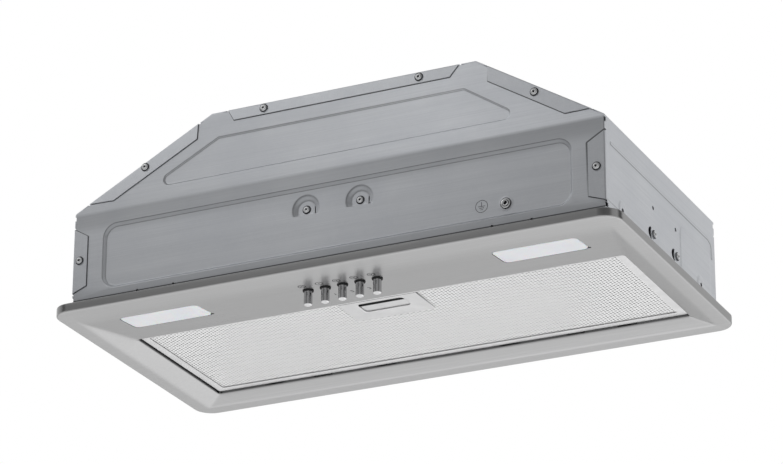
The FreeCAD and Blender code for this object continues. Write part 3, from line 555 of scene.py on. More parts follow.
def sheet2d(outline, holes=(), closed=(), lines=(), grid=None, clear=4.0, extra=()):
    """Triangles of a flat region with constraint loops and lines. Returns points and faces."""
    pts, edges = [], []

    def add(loop, ring):
        b = len(pts)
        pts.extend((float(q[0]), float(q[1])) for q in loop)
        n = len(loop)
        edges.extend((b + i, b + i + 1) for i in range(n - 1))
        if ring:
            edges.append((b + n - 1, b))

    add(outline, True)
    for h in holes:
        add(h, True)
    for h in closed:
        add(h, True)
    for h in lines:
        add(h, False)
    for q in extra:
        pts.append((float(q[0]), float(q[1])))
    if grid:
        gx, gy = grid
        xs = [q[0] for q in outline]
        ys = [q[1] for q in outline]
        g = np.array(
            [
                (x, y)
                for j, y in enumerate(np.arange(min(ys) + gy / 2, max(ys), gy))
                for x in np.arange(min(xs) + (gx / 2 if j % 2 else gx), max(xs), gx)
            ]
        )
        if len(g):
            ok = inside(outline, g)
            for h in holes:
                ok &= ~inside(h, g)
            g = g[ok]
            a_ = np.array([pts[i] for i, _ in edges])
            b_ = np.array([pts[j] for _, j in edges])
            d_ = b_ - a_
            q_ = (d_**2).sum(1)
            q_[q_ == 0] = 1
            for gxy in g:
                t = np.clip(((gxy - a_) * d_).sum(1) / q_, 0, 1)
                near = (((a_ + d_ * t[:, None]) - gxy) ** 2).sum(1).min()
                if near > clear * clear:
                    pts.append((float(gxy[0]), float(gxy[1])))
    res = delaunay_2d_cdt([Vector(q) for q in pts], edges, [], 0, 1e-5)
    v, f = res[0], res[2]
    cen = np.array([[sum(v[i][k] for i in fc) / len(fc) for k in (0, 1)] for fc in f])
    ok = inside(outline, cen)
    for h in holes:
        ok &= ~inside(h, cen)
    return [(q[0], q[1]) for q in v], [list(fc) for fc, k in zip(f, ok) if k]


def rings_faces(rings, base=0, wrap=True):
    """Quads between consecutive rings of equal length."""
    n = len(rings[0])
    out = []
    for i in range(len(rings) - 1):
        for j in range(n if wrap else n - 1):
            k = (j + 1) % n
            out.append((base + i * n + j, base + (i + 1) * n + j, base + (i + 1) * n + k, base + i * n + k))
    return out


def ring_pts(x0, x1, y0, y1, r, n=6, nx=10, ny=5):
    """Rounded rectangle with the sides divided too; the count doesn't depend on its size."""
    out = []
    cs = [(x1 - r, y0 + r, -90), (x1 - r, y1 - r, 0), (x0 + r, y1 - r, 90), (x0 + r, y0 + r, 180)]
    for ci, (cx, cy, a0) in enumerate(cs):
        arc = [(cx + r * math.cos(math.radians(a0 + 90 * j / n)), cy + r * math.sin(math.radians(a0 + 90 * j / n))) for j in range(n + 1)]
        out += arc
        nxt = cs[(ci + 1) % 4]
        q = (nxt[0] + r * math.cos(math.radians(nxt[2])), nxt[1] + r * math.sin(math.radians(nxt[2])))
        k = ny if ci % 2 == 0 else nx
        for j in range(1, k):
            out.append((arc[-1][0] + (q[0] - arc[-1][0]) * j / k, arc[-1][1] + (q[1] - arc[-1][1]) * j / k))
    return out


def wall(ring, z0, z1, holes=()):
    """Upright wall on a closed ring, with holes given as (s0, s1, z0, z1) along it. Faces look inwards."""
    n = len(ring)
    s = [0.0]
    for i in range(n):
        (ax, ay), (bx, by) = ring[i], ring[(i + 1) % n]
        s.append(s[-1] + math.hypot(bx - ax, by - ay))
    L = s[-1]
    bottom = [(q, z0) for q in s]
    top = [(q, z1) for q in reversed(s)]
    lines = [[(q, z0), (q, z1)] for q in s[1:-1] if not any(a_ - 0.3 < q < b_ + 0.3 for a_, b_, _, _ in holes)]
    hol = [[(a_, c_), (b_, c_), (b_, d_), (a_, d_)] for a_, b_, c_, d_ in holes]
    v, f = sheet2d(bottom + top, hol, (), lines)

    def at(q):
        q = min(max(q, 0.0), L)
        import bisect

        i = min(bisect.bisect_right(s, q) - 1, n - 1)
        t = (q - s[i]) / (s[i + 1] - s[i])
        (ax, ay), (bx, by) = ring[i], ring[(i + 1) % n]
        return ax + (bx - ax) * t, ay + (by - ay) * t

    verts = [(*at(q[0]), q[1]) for q in v]
    return verts, [tuple(reversed(fc)) for fc in f], s


def where_on(ring, x, y):
    """Distance along a ring of the point nearest to (x, y)."""
    best, s = None, 0.0
    n = len(ring)
    for i in range(n):
        (ax, ay), (bx, by) = ring[i], ring[(i + 1) % n]
        L = math.hypot(bx - ax, by - ay)
        if L:
            t = max(0, min(1, ((x - ax) * (bx - ax) + (y - ay) * (by - ay)) / L / L))
            d = math.hypot(ax + (bx - ax) * t - x, ay + (by - ay) * t - y)
            if best is None or d < best[0] - 1e-9:
                best = (d, s + t * L)
        s += L
    return best[1]


def join(parts):
    """Several (verts, faces) lists as one."""
    v, f = [], []
    for a_, b_ in parts:
        k = len(v)
        v += list(a_)
        f += [tuple(i + k for i in fc) for fc in b_]
    return v, f


def turned(profile, n=40, origin=(0, 0, 0), axis="z"):
    """Closed solid of revolution; profile is (r, h) from axis to axis."""
    v, f = [], []
    idx = []
    for r_, h in profile:
        if r_ < 1e-6:
            idx.append([len(v)] * n)
            v.append((0.0, 0.0, h))
        else:
            idx.append(list(range(len(v), len(v) + n)))
            v += [(r_ * math.cos(2 * math.pi * j / n), r_ * math.sin(2 * math.pi * j / n), h) for j in range(n)]
    for i in range(len(idx) - 1):
        for j in range(n):
            k = (j + 1) % n
            q = [idx[i][j], idx[i][k], idx[i + 1][k], idx[i + 1][j]]
            q = [x for t, x in enumerate(q) if x not in q[:t]]
            if len(q) > 2:
                f.append(tuple(q))
    m_ = {"z": Matrix.Identity(3), "-z": Matrix.Rotation(math.pi, 3, "X"), "-y": Matrix.Rotation(math.pi / 2, 3, "X"), "y": Matrix.Rotation(-math.pi / 2, 3, "X"), "x": Matrix.Rotation(math.pi / 2, 3, "Y"), "-x": Matrix.Rotation(-math.pi / 2, 3, "Y")}[axis]
    o_ = Vector(origin)
    return [tuple(m_ @ Vector(q) + o_) for q in v], f


def arc(cx, cy, r, a0, a1, n):
    return [(cx + r * math.cos(math.radians(a0 + (a1 - a0) * i / n)), cy + r * math.sin(math.radians(a0 + (a1 - a0) * i / n))) for i in range(n + 1)]


# ---------------------------------------------------------------- face tray
def smin(a_, b_, k):
    return min(a_, b_) - max(k - abs(a_ - b_), 0.0) ** 2 / (4 * k)


def smax(a_, b_, k):
    return max(a_, b_) + max(k - abs(a_ - b_), 0.0) ** 2 / (4 * k)


def dish(x, y):
    """Height of the pressed face over the flat rim."""
    f_ = (y + 112) * 6 / 70
    l_, r_ = (x + 248) / 3, (248 - x) / 3
    b_ = (124 - y) * 6 / 14
    return smax(smin(smin(f_, b_, 0.9), smin(l_, r_, 0.9), 0.9), 0.0, 0.9)


def build_tray():
    mm_ = []
    n_, nx_, ny_ = 10, 22, 12

    def ring(inset, z):
        return [(x, y, z) for x, y in ring_pts(-262.5 + inset, 262.5 - inset, -140 + inset, 140 - inset, max(17 - inset, 9.5), n_, nx_, ny_)]

    prof = [(7.5, 8.0), (0.7, 8.0)]
    prof += [(0.7 - 0.7 * math.sin(math.radians(q)), 7.3 + 0.7 * math.cos(math.radians(q))) for q in (30, 60, 90)]
    prof += [(0.0, 4.4)]
    prof += [(1.5 - 1.5 * math.cos(math.radians(q)), 1.5 - 1.5 * math.sin(math.radians(q))) for q in range(0, 91, 10)]
    rings = [ring(i, z) for i, z in prof]
    v = [q for rg in rings for q in rg]
    parts = [(v, rings_faces(rings))]
    # pressed face between the rim and the opening
    outer = [(x, y) for x, y, _ in rings[-1]]
    o1 = ring_pts(-231.2, 231.2, -43.2, 111.2, 3.2, 6, 22, 8)
    cons = []
    for t in (-1, -0.5, 0, 0.5, 1):
        sx, fy, by = 248 + 2.7 * t, -112 - 10 * t, 124 + 2.1 * t
        c = ring_pts(-sx, sx, fy, by, 1.5 + 0.8 * (t + 1), 3, 12, 8)
        cons.append(c)
    lines = []
    for sx in (-1, 1):
        for (ox, oy), (ix, iy) in (((248, -112), (231.4, -43.5)), ((248, 124), (231.4, 111.5))):
            dx, dy = ix - ox, iy - oy
            L = math.hypot(dx, dy)
            nx, ny = -dy / L, dx / L
            w = 3.4 if oy < 0 else 2.0
            for t in (-1, -0.5, 0, 0.5, 1):
                a_, b_ = 0.1, 0.93
                lines.append([(sx * (ox + dx * q + nx * w * t), oy + dy * q + ny * w * t) for q in (a_, (a_ + b_) / 2, b_)])
    holes = [o1]
    for sx in (-175.4, 175.4):
        holes.append(rect_round(sx - 38.5, sx + 38.5, -106.5, -73.5, 5.6).loop(0, 6))
    for i in range(1, 6):
        holes.append(Round([(-53.1 + 16.2 * i, -92.7)], 4.9).loop(0, 8))
    v2, f2 = sheet2d(outer, holes, cons, lines, (14, 9), 3.0)
    parts.append(([(x, y, dish(x, y)) for x, y in v2], [tuple(reversed(q)) for q in f2]))
    # rolled edge of the opening and the upright wall
    o2 = ring_pts(-230.35, 230.35, -42.35, 110.35, 2.35, 6, 22, 8)
    o3 = ring_pts(-230, 230, -42, 110, 2.0, 6, 22, 8)
    r1 = [(x, y, dish(x, y)) for x, y in o1]
    r2 = [(x, y, 6.25) for x, y in o2]
    r3 = [(x, y, 7.0) for x, y in o3]
    parts.append((r1 + r2 + r3, rings_faces([r1, r2, r3])))
    hs = []
    for sx in (-172, -123.5, -60, 60, 123.5, 172):
        s_ = where_on(o3, sx, 110)
        hs.append((s_ - 9, s_ + 9, 7.4, 12.5))
    s_ = where_on(o3, 0, -42)
    hs.append((s_ - 10, s_ + 10, 11.0, 13.8))
    wv, wf, _ = wall(o3, 7.0, 15.5, hs)
    parts.append((wv, wf))
    v, f = join(parts)
    o = piece("face_tray_pressing", v, f, M["stainless"], "housing", "stainless", ("face_tray",), thick=0.9, angle=40)

    # painted shade: the skirt darker, faint shade along the front strip and the right rim, and the upright wall of the
    # opening dark as a shadow gap, a little less at the back
    def shade(x, y, z):
        if abs(x) > 258 or abs(y) > 135.5:
            return 0.33 * ease((z - 0.5) / 1.0) * ease(min(1.0, (8.6 - z) / 0.4))
        if abs(x) > 232 or y < -44 or y > 112:
            if y < -44:
                near = 0.03
                return near * (1 - ease((abs(x) - 234) / 18)) * ease((138.9 + y) / 0.9)
            return 0.05 if x > 250 else 0.0
        return ease((z - 6.2) / 0.7) * (0.7 if y > 109 else 0.95)

    paint(o, shade)
    return o


tray = build_tray()


# ---------------------------------------------------------------- folded wrapper
class Fold:
    """Outer profile of the folded sheet, run from the left flange over the top to the right one."""

    def __init__(self, pts, radii):
        self.s, self.q, self.nrm, self.seg0 = [], [], [], []
        s = 0.0
        k = len(pts)
        pts = [Vector(p) for p in pts]
        prev = pts[0]
        self.bends = []
        for i in range(k - 1):
            a_, b_ = pts[i], pts[i + 1]
            t = (b_ - a_).normalized()
            n = Vector((-t.y, t.x))
            # start of this straight part, after the bend at a_
            cut0 = self._cut(pts, i, radii) if i > 0 else 0.0
            cut1 = self._cut(pts, i + 1, radii) if i + 1 < k - 1 else 0.0
            p0, p1 = a_ + t * cut0, b_ - t * cut1
            self.seg0.append((s - cut0, a_.copy(), t.copy(), n.copy()))
            self._add(s, p0, n)
            s += (p1 - p0).length
            self._add(s, p1, n)
            if i + 1 < k - 1:
                t2 = (pts[i + 2] - b_).normalized()
                n2 = Vector((-t2.y, t2.x))
                ang = math.atan2(t.x * t2.y - t.y * t2.x, t.dot(t2))
                r = radii[i + 1]
                m_ = 5
                cen = p1 + n * (r if ang > 0 else -r)
                L = abs(ang) * r
                marks = [s]
                for j in range(1, m_ + 1):
                    g = ang * j / m_
                    rot = Matrix.Rotation(g, 2)
                    nn = rot @ n
                    pp = cen - nn * (r if ang > 0 else -r)
                    marks.append(s + L * j / m_)
                    self._add(s + L * j / m_, pp, nn)
                s += L
                self.bends.append(marks)
        self.length = s

    def _cut(self, pts, i, radii):
        a_, b_, c_ = pts[i - 1], pts[i], pts[i + 1]
        t, t2 = (b_ - a_).normalized(), (c_ - b_).normalized()
        ang = abs(math.atan2(t.x * t2.y - t.y * t2.x, t.dot(t2)))
        return radii[i] * math.tan(ang / 2)

    def _add(self, s, p, n):
        self.s.append(s)
        self.q.append(p.copy())
        self.nrm.append(n.copy())

    def at(self, s):
        i = max(0, min(bisect.bisect_right(self.s, s) - 1, len(self.s) - 2))
        while i < len(self.s) - 2 and self.s[i + 1] - self.s[i] < 1e-9:
            i += 1
        t = (s - self.s[i]) / max(self.s[i + 1] - self.s[i], 1e-9)
        return self.q[i].lerp(self.q[i + 1], t), self.nrm[i].lerp(self.nrm[i + 1], t).normalized()

    def s_of(self, seg, x, z):
        s0, p, t, n = self.seg0[seg]
        d = Vector((x, z)) - p
        return s0 + d.dot(t), -d.dot(n)


EDGE_R, EDGE_Y = 1.2, 125.0
PROFILE = [(-255, 2), (-249, 2), (-249, 97), (-116, 168), (134, 168), (249, 97), (249, 2), (255, 2)]
fold = Fold(PROFILE, [0, 1.2, 2.5, 2.0, 2.0, 2.5, 1.2, 0])
TABS = [
    (1, [(-249, 22.3), (-235.3, 28), (-235.3, 74), (-249, 82.3)]),
    (2, [(-235, 104.3), (-211, 103.6), (-130, 146.6), (-129, 160.9)]),
    (3, [(-99.7, 168), (-94, 157.7), (110, 157.7), (118.7, 168)]),
    (4, [(145, 161.1), (145, 147), (214, 104), (236.8, 104.3)]),
    (5, [(249, 82.3), (233.7, 73.3), (233.7, 26), (249, 20.7)]),
]


def over_edge(dep):
    """Length along the sheet, past the fold's start, of a point dep inside the outer face."""
    dep = max(dep, 0.0)
    if dep < EDGE_R:
        return EDGE_R * math.acos(1 - dep / EDGE_R)
    return EDGE_R * math.pi / 2 + dep - EDGE_R


def side_height(z, y):
    """Pressed relief of a side wall, outwards."""
    h = 0.3 * max(step(q.sd(y, z), 1.2) for q in beads)
    h -= 0.3 * step(low_line.sd(y, z), 1.4)
    h += 0.4 * step(block.sd(y, z), 3.4)
    for cy in (-91, 87):
        h += 0.45 * step(Round([(cy, 24)], 7.6).sd(y, z), 3.4) * (1 if z > 17.5 else 0)
    return h


beads = [Round([(-113.5, 75), (109, 75)], 1.3), Round([(109, 75), (115.4, 73.0)], 1.3), Round([(115.4, 73.0), (117.5, 68.5)], 1.3), Round([(117.5, 68.5), (117.5, 60)], 1.3)]
low_line = Round([(-117, 61), (-40, 61)], 0.6)
block = rect_round(41, 112, 10, 62, 7)


def build_wrapper():
    front = []
    for seg, pts in TABS:
        for j, (x, z) in enumerate(pts):
            s, dep = fold.s_of(seg, x, z)
            if j in (0, 3):
                front.append((s, EDGE_Y, "e"))
            else:
                front.append((s, EDGE_Y + over_edge(dep), "t"))
    # relief notches beside every tab and at the two shoulder corners
    edge = [(0.0, EDGE_Y)]
    k = 0
    for seg, pts in TABS:
        q = front[k : k + 4]
        k += 4
        a_, b_ = q[0][0], q[3][0]
        edge += [(a_ - 1.7, EDGE_Y), (a_ - 1.5, EDGE_Y - 2.2), (a_ - 0.5, EDGE_Y - 2.2), (a_ - 0.1, EDGE_Y)]
        edge += [(a_, EDGE_Y + 0.02)]
        # the tab's flanks run straight over the fold
        edge += [(q[1][0] if seg in (2, 3, 4) and False else a_, EDGE_Y + EDGE_R * 0.7)]
        edge += [(q[1][0], q[1][1]), (q[2][0], q[2][1])]
        edge += [(b_, EDGE_Y + EDGE_R * 0.7), (b_, EDGE_Y + 0.02)]
        edge += [(b_ + 0.1, EDGE_Y), (b_ + 0.5, EDGE_Y - 2.2), (b_ + 1.5, EDGE_Y - 2.2), (b_ + 1.7, EDGE_Y)]
    edge += [(fold.length, EDGE_Y)]
    # corner notches: low on the upright edges, and just under the shoulders
    for seg, za, zb in ((1, 18.6, 14.6), (1, 94.6, 90.6), (5, 18.6, 14.6), (5, 94.6, 90.6)):
        s1, _ = fold.s_of(seg, PROFILE[seg][0], za)
        s2, _ = fold.s_of(seg, PROFILE[seg][0], zb)
        lo, hi = min(s1, s2), max(s1, s2)
        at = next(i for i, q in enumerate(edge) if q[0] > lo)
        dp = 3.5 if za < 50 else 2.2
        edge[at:at] = [(lo, EDGE_Y), (lo, EDGE_Y - dp), (hi, EDGE_Y - dp), (hi, EDGE_Y)]
    outline = [(s, -y) for s, y in edge] + [(s, y) for s, y in reversed(edge)]
    holes, closed, lines = [], [], []

    def side(seg, y, z):
        s, _ = fold.s_of(seg, PROFILE[seg][0], z)
        return s, y

    for seg in (1, 5):
        for cy, cz, cr in ((-91, 23.8, 2.0), (87, 23.8, 2.0), (-21, 53.6, 1.8), (30.6, 53.6, 1.8)):
            holes.append([side(seg, q[0], q[1]) for q in Round([(cy, cz)], cr).loop(0, 5)])
        for cy in (-25.8, 27.2):
            ga = [math.radians(100 + 18 * i) for i in range(10)]
            cres = [(cy + 7.4 * math.cos(g), 28.8 + 5.6 * math.sin(g)) for g in ga]
            cres += [(cy + 1.6 * math.cos(g), 28.8 + 4.8 * math.sin(g)) for g in reversed(ga)]
            holes.append([side(seg, *q) for q in cres])
        for shp, ins in [(q, (-0.6, -0.3, 0, 0.3, 0.6)) for q in beads] + [(low_line, (-0.8, -0.2)), (block, (-1.8, -0.9, 0, 0.9, 1.8))]:
            for d in ins:
                lp = shp.loop(d, 5)
                lp = [(y, z) for y, z in lp if True]
                closed.append([side(seg, y, z) for y, z in lp])
        for zz in (20.7, 21.1, 21.8, 22.2):
            lines.append([side(seg, y, zz) for y in (-124.9, -60, 0, 60, 124.9)])
        for cy in (-91, 87):
            for d in (-1.6, -0.8, 0, 0.8, 1.6):
                closed.append([side(seg, y, z) for y, z in Round([(cy, 24)], 7.6).loop(d, 6)])
            for zz in (17.3, 17.7):
                lines.append([side(seg, cy - 11, zz), side(seg, cy + 11, zz)])
    # mouth of the blower and the gland hole in the top
    s33, _ = fold.s_of(3, -33, 168)
    s51, _ = fold.s_of(3, 51, 168)
    holes.append([(s33, 17), (s51, 17), (s51, 68), (s33, 68)])
    sg, _ = fold.s_of(3, 100, 168)
    holes.append(Round([(sg, -75)], 8.2).loop(0, 8))
    for marks in fold.bends:
        for s in marks:
            lines.append([(s, -EDGE_Y + 0.01), (s, -60), (s, 0), (s, 60), (s, EDGE_Y - 0.01)])
    k = 0
    for seg, pts in TABS:
        a_, b_ = front[k][0], front[k + 3][0]
        k += 4
        for t in (0.0, 0.25, 0.5, 0.75, 1.0):
            e_ = EDGE_R * math.pi / 2 * t + 0.001
            for sg_ in (-1, 1):
                lines.append([(min(a_, b_) - 0.0, sg_ * (EDGE_Y + e_)), (max(a_, b_) + 0.0, sg_ * (EDGE_Y + e_))])
    v2, f2 = sheet2d(outline, holes, closed, lines, (16, 22), 4.0)
    verts = []
    for s, y in v2:
        p, n = fold.at(s)
        sg_ = -1 if y < 0 else 1
        e_ = abs(y) - EDGE_Y
        h = 0.0
        for seg in (1, 5):
            s0, pp, t, nn = fold.seg0[seg]
            z = p.y
            if abs(p.x) > 248.9 and z > 6:
                h = side_height(z, y)
        if e_ <= 0:
            q = p + n * h
            verts.append((q.x, y, q.y))
        else:
            th = min(e_ / EDGE_R, math.pi / 2)
            rest = max(0.0, e_ - EDGE_R * math.pi / 2)
            q = p - n * (EDGE_R * (1 - math.cos(th)) + rest)
            verts.append((q.x, sg_ * (EDGE_Y + EDGE_R * math.sin(th)), q.y))
    o = piece("wrapper_sheet", verts, f2, M["galvanised_side"], "housing", "galvanised", ("wrapper_shell",), thick=0.9, angle=40)

    # painted shade: the rolled front and rear edges darker below the shoulder, more on the right; thin dark lines along
    # the side beads; and a painted shadow line where the tray meets the side walls
    def shade(x, y, z):
        if abs(y) > 125.3:
            return (0.21 if x > 0 else 0.14) if z < 97 else 0.0
        if abs(x) < 248.4 or z < 12 or z > 90:
            return 0.0
        d = min(q.sd(y, z) for q in beads)
        return max(0.3 * ease(1 - abs(d) / 0.5), 0.5 * ease(1 - abs(z - 21.45) / 0.7))

    paint(o, shade)
    return o


wrapper = build_wrapper()


# ---------------------------------------------------------------- end panels
field_low = Round([(-207, 35.3), (206, 35.3), (206, 69), (-207, 69)], 12)
field_top = Round([(-156.8, 114), (159.4, 114), (121.4, 139.3), (-107.8, 139.3)], 5)
DIMPLES = [(-25, 62.7), (25.3, 62.7)]
PANEL = [(-247.8, 1.2), (247.8, 1.2), (247.8, 96.4), (133.6, 166.8), (-115.6, 166.8), (-247.8, 96.4)]
SCREWS = [(-180, 129), (187.3, 128.3), (-65, 163), (82, 163), (-242.3, 52), (241.3, 51)]


def front_height(x, z):
    """Relief of the front panel, outwards."""
    h = -2.4 * step(field_low.sd(x, z), 3.0)
    h -= 1.2 * step(field_top.sd(x, z), 1.8)
    h -= 0.1 * ease((98 - z) / 7.0 + 0.5) * (1 if z > 60 else 0) if z < 110 and z > 84 else 0.0
    for cx, cz in DIMPLES:
        d = math.hypot(x - cx, z - cz)
        if d < 15 and z > cz - 5.4:
            h -= 2.2 * ease((13.0 - d) / 4.6)
    d = math.hypot(x - 159.3, z - 34.3)
    h += 0.16 * ease((7.0 - d) / 1.4)
    return h


def build_panel(sign):
    outline = list(PANEL)
    holes, closed, lines, extra = [], [], [], []
    if sign < 0:
        for d in (-1.9, -1.5, -1.1, -0.7, 0, 0.7, 1.1, 1.5, 1.9):
            closed.append(field_low.loop(d, 8))
        for d in (-1.2, -0.8, -0.4, 0, 0.4, 0.8, 1.2):
            closed.append(field_top.loop(d, 6))
        for zz in (94.0, 96.3, 98.0, 99.8, 102.0):
            lines.append([(-247.8, zz), (-120, zz), (0, zz), (120, zz), (247.8, zz)])
        for cx, cz in DIMPLES:
            for r_ in (13.6, 12.5, 11.2, 9.8, 8.4, 7.4):
                lines.append([(cx + r_ * math.cos(g), cz + r_ * math.sin(g)) for g in [math.radians(-30 + 240 * i / 26) for i in range(27)]])
            for dz in (-5.6, -5.2):
                lines.append([(cx - 14.5, cz + dz), (cx + 14.5, cz + dz)])
            holes.append(Round([(cx, cz)], 1.7).loop(0, 5))
            holes.append([(cx + 7.6, cz - 5.0), (cx + 8.7, cz - 5.0), (cx + 8.7, cz + 2.0), (cx + 7.6, cz + 2.0)])
        for r_ in (7.2, 6.6, 6.0, 5.4):
            closed.append(Round([(159.3, 34.3)], r_).loop(0, 8))
        holes.append(Round([(159.3, 34.3)], 3.7).loop(0, 8))
        for nx in (-184.7, -149.7, 147.5, 183.0):
            holes.append([(nx - 0.9, 14.4), (nx + 0.9, 14.4), (nx + 0.9, 16.2), (nx - 0.9, 16.2)])
    for _, pts in TABS:
        for d in (0.0, 0.45, 0.95):
            closed.append(Round(pts, 0.02).loop(-d, 3))
        if pts[0][0] > 240 and sign < 0:
            closed.append(Round(pts, 0.02).loop(-1.7, 3))
            closed.append(Round(pts, 0.02).loop(-2.25, 3))
    for zz in (14.4, 14.8, 15.5, 15.9):
        lines.append([(-247.8, zz), (-120, zz), (0, zz), (120, zz), (247.8, zz)])
    v2, f2 = sheet2d(outline, holes, closed, lines, (20, 14), 4.0)
    y0 = 125.2
    verts = [(x, sign * (y0 + (front_height(x, z) if sign < 0 else 0.0)), z) for x, z in v2]
    if sign > 0:
        f2 = [list(reversed(q)) for q in f2]
    nm = "front" if sign < 0 else "rear"
    o = piece(nm + "_panel_sheet", verts, f2, M["galvanised"], "housing", "galvanised", (nm + "_panel",), thick=0.9, angle=38)
    tabs_ = [Round(pts, 0.02) for _, pts in TABS]

    # painted shade: dark lines around the tabs, a wider dark outline beside the right-hand tab, the panel darker
    # towards the bottom, dark lines along the press lines and darker upper-left arcs on the dimples as painted
    # reflection and shade, and a painted shadow line where the panel meets the tray
    def shade(x, y, z):
        if abs(y) < 124.8 and not 9 < z < 160:
            return 0.0
        d = min(abs(q.sd(x, z)) for q in tabs_)
        s_ = ease((0.95 - d) / 0.7)
        if tabs_[3].sd(x, z) < 1.2 and z > 148.0:
            s_ = 0.0
        if sign < 0:
            s_ = max(s_, 0.27 * ease((23.5 - z) / 3.0))
            if z > 30 and x > 229:
                s_ = max(s_, 0.8 * ease((2.2 - tabs_[4].sd(x, z)) / 0.45))
            for shp, off, wts in ((field_low, 1.35, (0.62, 0.04, 0.34, 0.12)), (field_top, 0.35, (0.5, 0.28, 0.3, 0.36))):
                q = shp.sd(x, z)
                if abs(q) < 2.5:
                    gx, gz = shp.sd(x + 0.05, z) - shp.sd(x - 0.05, z), shp.sd(x, z + 0.05) - shp.sd(x, z - 0.05)
                    gl = max(math.hypot(gx, gz), 1e-6)
                    gx, gz = gx / gl, gz / gl
                    w_ = wts[0] * ease(gz * 1.5) + wts[1] * ease(-gz * 1.5) + wts[2] * ease(-gx * 1.3) * (1 - abs(gz)) + wts[3] * ease(gx * 1.3) * (1 - abs(gz))
                    s_ = max(s_, w_ * max(ease(1 - abs(q - off) / 0.5), 0.9 * ease(1 - abs(q + off) / 0.5)))
            for cx, cz in DIMPLES:
                d = math.hypot(x - cx, z - cz)
                if d < 15 and z > cz - 5.4:
                    g_ = max(0.0, (-(x - cx) * 0.6 + (z - cz) * 0.8) / max(d, 1e-6))
                    s_ = max(s_, (0.12 + 0.42 * g_) * ease(1 - abs(d - 12.6) / 1.3), (0.08 + 0.3 * g_) * ease(1 - abs(d - 8.4) / 1.2))
        return max(s_, 0.9 if 14.6 < z < 15.7 else 0.0)

    paint(o, shade)
    return o


front_panel = build_panel(-1)
rear_panel = build_panel(1)


# ---------------------------------------------------------------- screws
def tube(profile, n, origin, axis):
    """Closed ring of revolution from a closed (r, h) profile whose last point repeats the first."""
    v, f = turned(profile[:-1], n, origin, axis)
    k = len(profile) - 1
    f = list(f)
    for j in range(n):
        i = (j + 1) % n
        f.append(((k - 1) * n + j, (k - 1) * n + i, i, j))
    return v, f


def screw(origin, axis, r=4.0, h=1.9, shank=1.5, length=8.0, n=28):
    prof = [(0, h - 0.9), (r * 0.2, h - 0.85), (r * 0.27, h - 0.12)]
    prof += [(r * 0.34, h), (r * 0.5, h - 0.04), (r * 0.64, h - 0.22), (r * 0.72, h - 0.55), (r * 0.74, h - 1.1)]
    prof += [(r * 0.76, 0.55), (r * 0.9, 0.5), (r * 0.93, 0.4), (r * 0.93, 0.12), (r * 0.9, 0.0), (shank, 0.0), (shank, -length + 1.2), (shank * 0.5, -length), (0, -length)]
    return turned(list(reversed(prof)), n, origin, axis)


def screw_shade_rings(origin, axis, r=4.0, h=1.9, n=28, **_):
    """Painted shade: a black ring in the joint around the dome and a black dot for the shadow in its recess."""
    ring = tube([(r * 0.755, 0.5), (r * 0.96, 0.4), (r * 0.96, 0.56), (r * 0.755, 0.68), (r * 0.755, 0.5)], n, origin, axis)
    dot = turned([(0, h - 0.5), (r * 0.235, h - 0.5), (r * 0.235, h - 0.8), (0, h - 0.8)], 16, origin, axis)
    return join([ring, dot])


def screw_set(name, node, spots, **kw):
    v, f = join([screw(o_, ax, **kw) for o_, ax in spots])
    piece(name, v, f, M["zinc_parts"], "housing", "zinc_parts", (node,), angle=38, closed=True, weld=1e-7)
    v, f = join([screw_shade_rings(o_, ax, **kw) for o_, ax in spots])
    return piece(name + "_shade_rings", v, f, M["ink"], "housing", "black_plastic", angle=38, closed=True, weld=1e-7)


spots = [((x, -126.25, z), "-y") for x, z in SCREWS] + [((x, 126.25, z), "y") for x, z in SCREWS]
spots += [((x, -125.2 + 4.75, z), "-y") for x, z in DIMPLES]
screw_set("panel_screw_set", "panel_screws", spots)
screw_set("side_screw_set", "side_screws", [((sx * 249.05, y, 29.4), "x" if sx > 0 else "-x") for sx in (-1, 1) for y in (-21, 32)])
screw_set(
    "collar_screw_set",
    "collar_screws",
    [((9 + 64 * math.cos(math.radians(g)), 42.5 + 64 * math.sin(math.radians(g)), 170.05), "z") for g in (45, 135, 225, 315)],
    r=3.0,
    h=1.6,
    shank=1.25,
    length=6.5,
)

# earth terminal: flanged insert with an open threaded bore
prof = [(1.6, -9.8), (1.6, 1.3), (1.8, 1.55), (2.3, 1.6), (2.55, 1.4), (2.6, 1.0), (3.0, 0.95), (3.9, 0.85), (4.4, 0.6), (4.4, 0.0), (3.6, 0.0), (3.6, -9.4), (3.2, -9.8), (1.6, -9.8)]


v, f = tube(prof, 40, (159.3, -125.2 + 2.4 - 0.45, 34.3), "-y")
rivet_v, rivet_f = v, f
cap_v, cap_f = turned([(0, -9.5), (2.15, -9.5), (2.15, -9.0), (0, -9.0)], 24, (159.3, -125.2 + 2.4 - 0.45, 34.3), "-y")
piece("earth_insert", rivet_v, rivet_f, M["zinc_parts"], "housing", "zinc_parts", ("earth_rivnut",), closed=True)
o_ = (159.3, -125.2 + 2.4 - 0.45, 34.3)
# painted shade: black rings in the joints of the insert and a black disc deep in its bore
v, f = join(
    [
        tube([(2.57, 0.9), (3.1, 0.9), (3.1, 1.02), (2.57, 1.15), (2.57, 0.9)], 36, o_, "-y"),
        tube([(4.35, 0.3), (4.85, 0.1), (4.85, 0.45), (4.35, 0.68), (4.35, 0.3)], 44, o_, "-y"),
        turned([(0, -1.0), (1.62, -1.0), (1.62, -1.6), (0, -1.6)], 20, o_, "-y"),
    ]
)
piece("earth_insert_shade_rings", v, f, M["ink"], "housing", "black_plastic", closed=True, weld=1e-7)


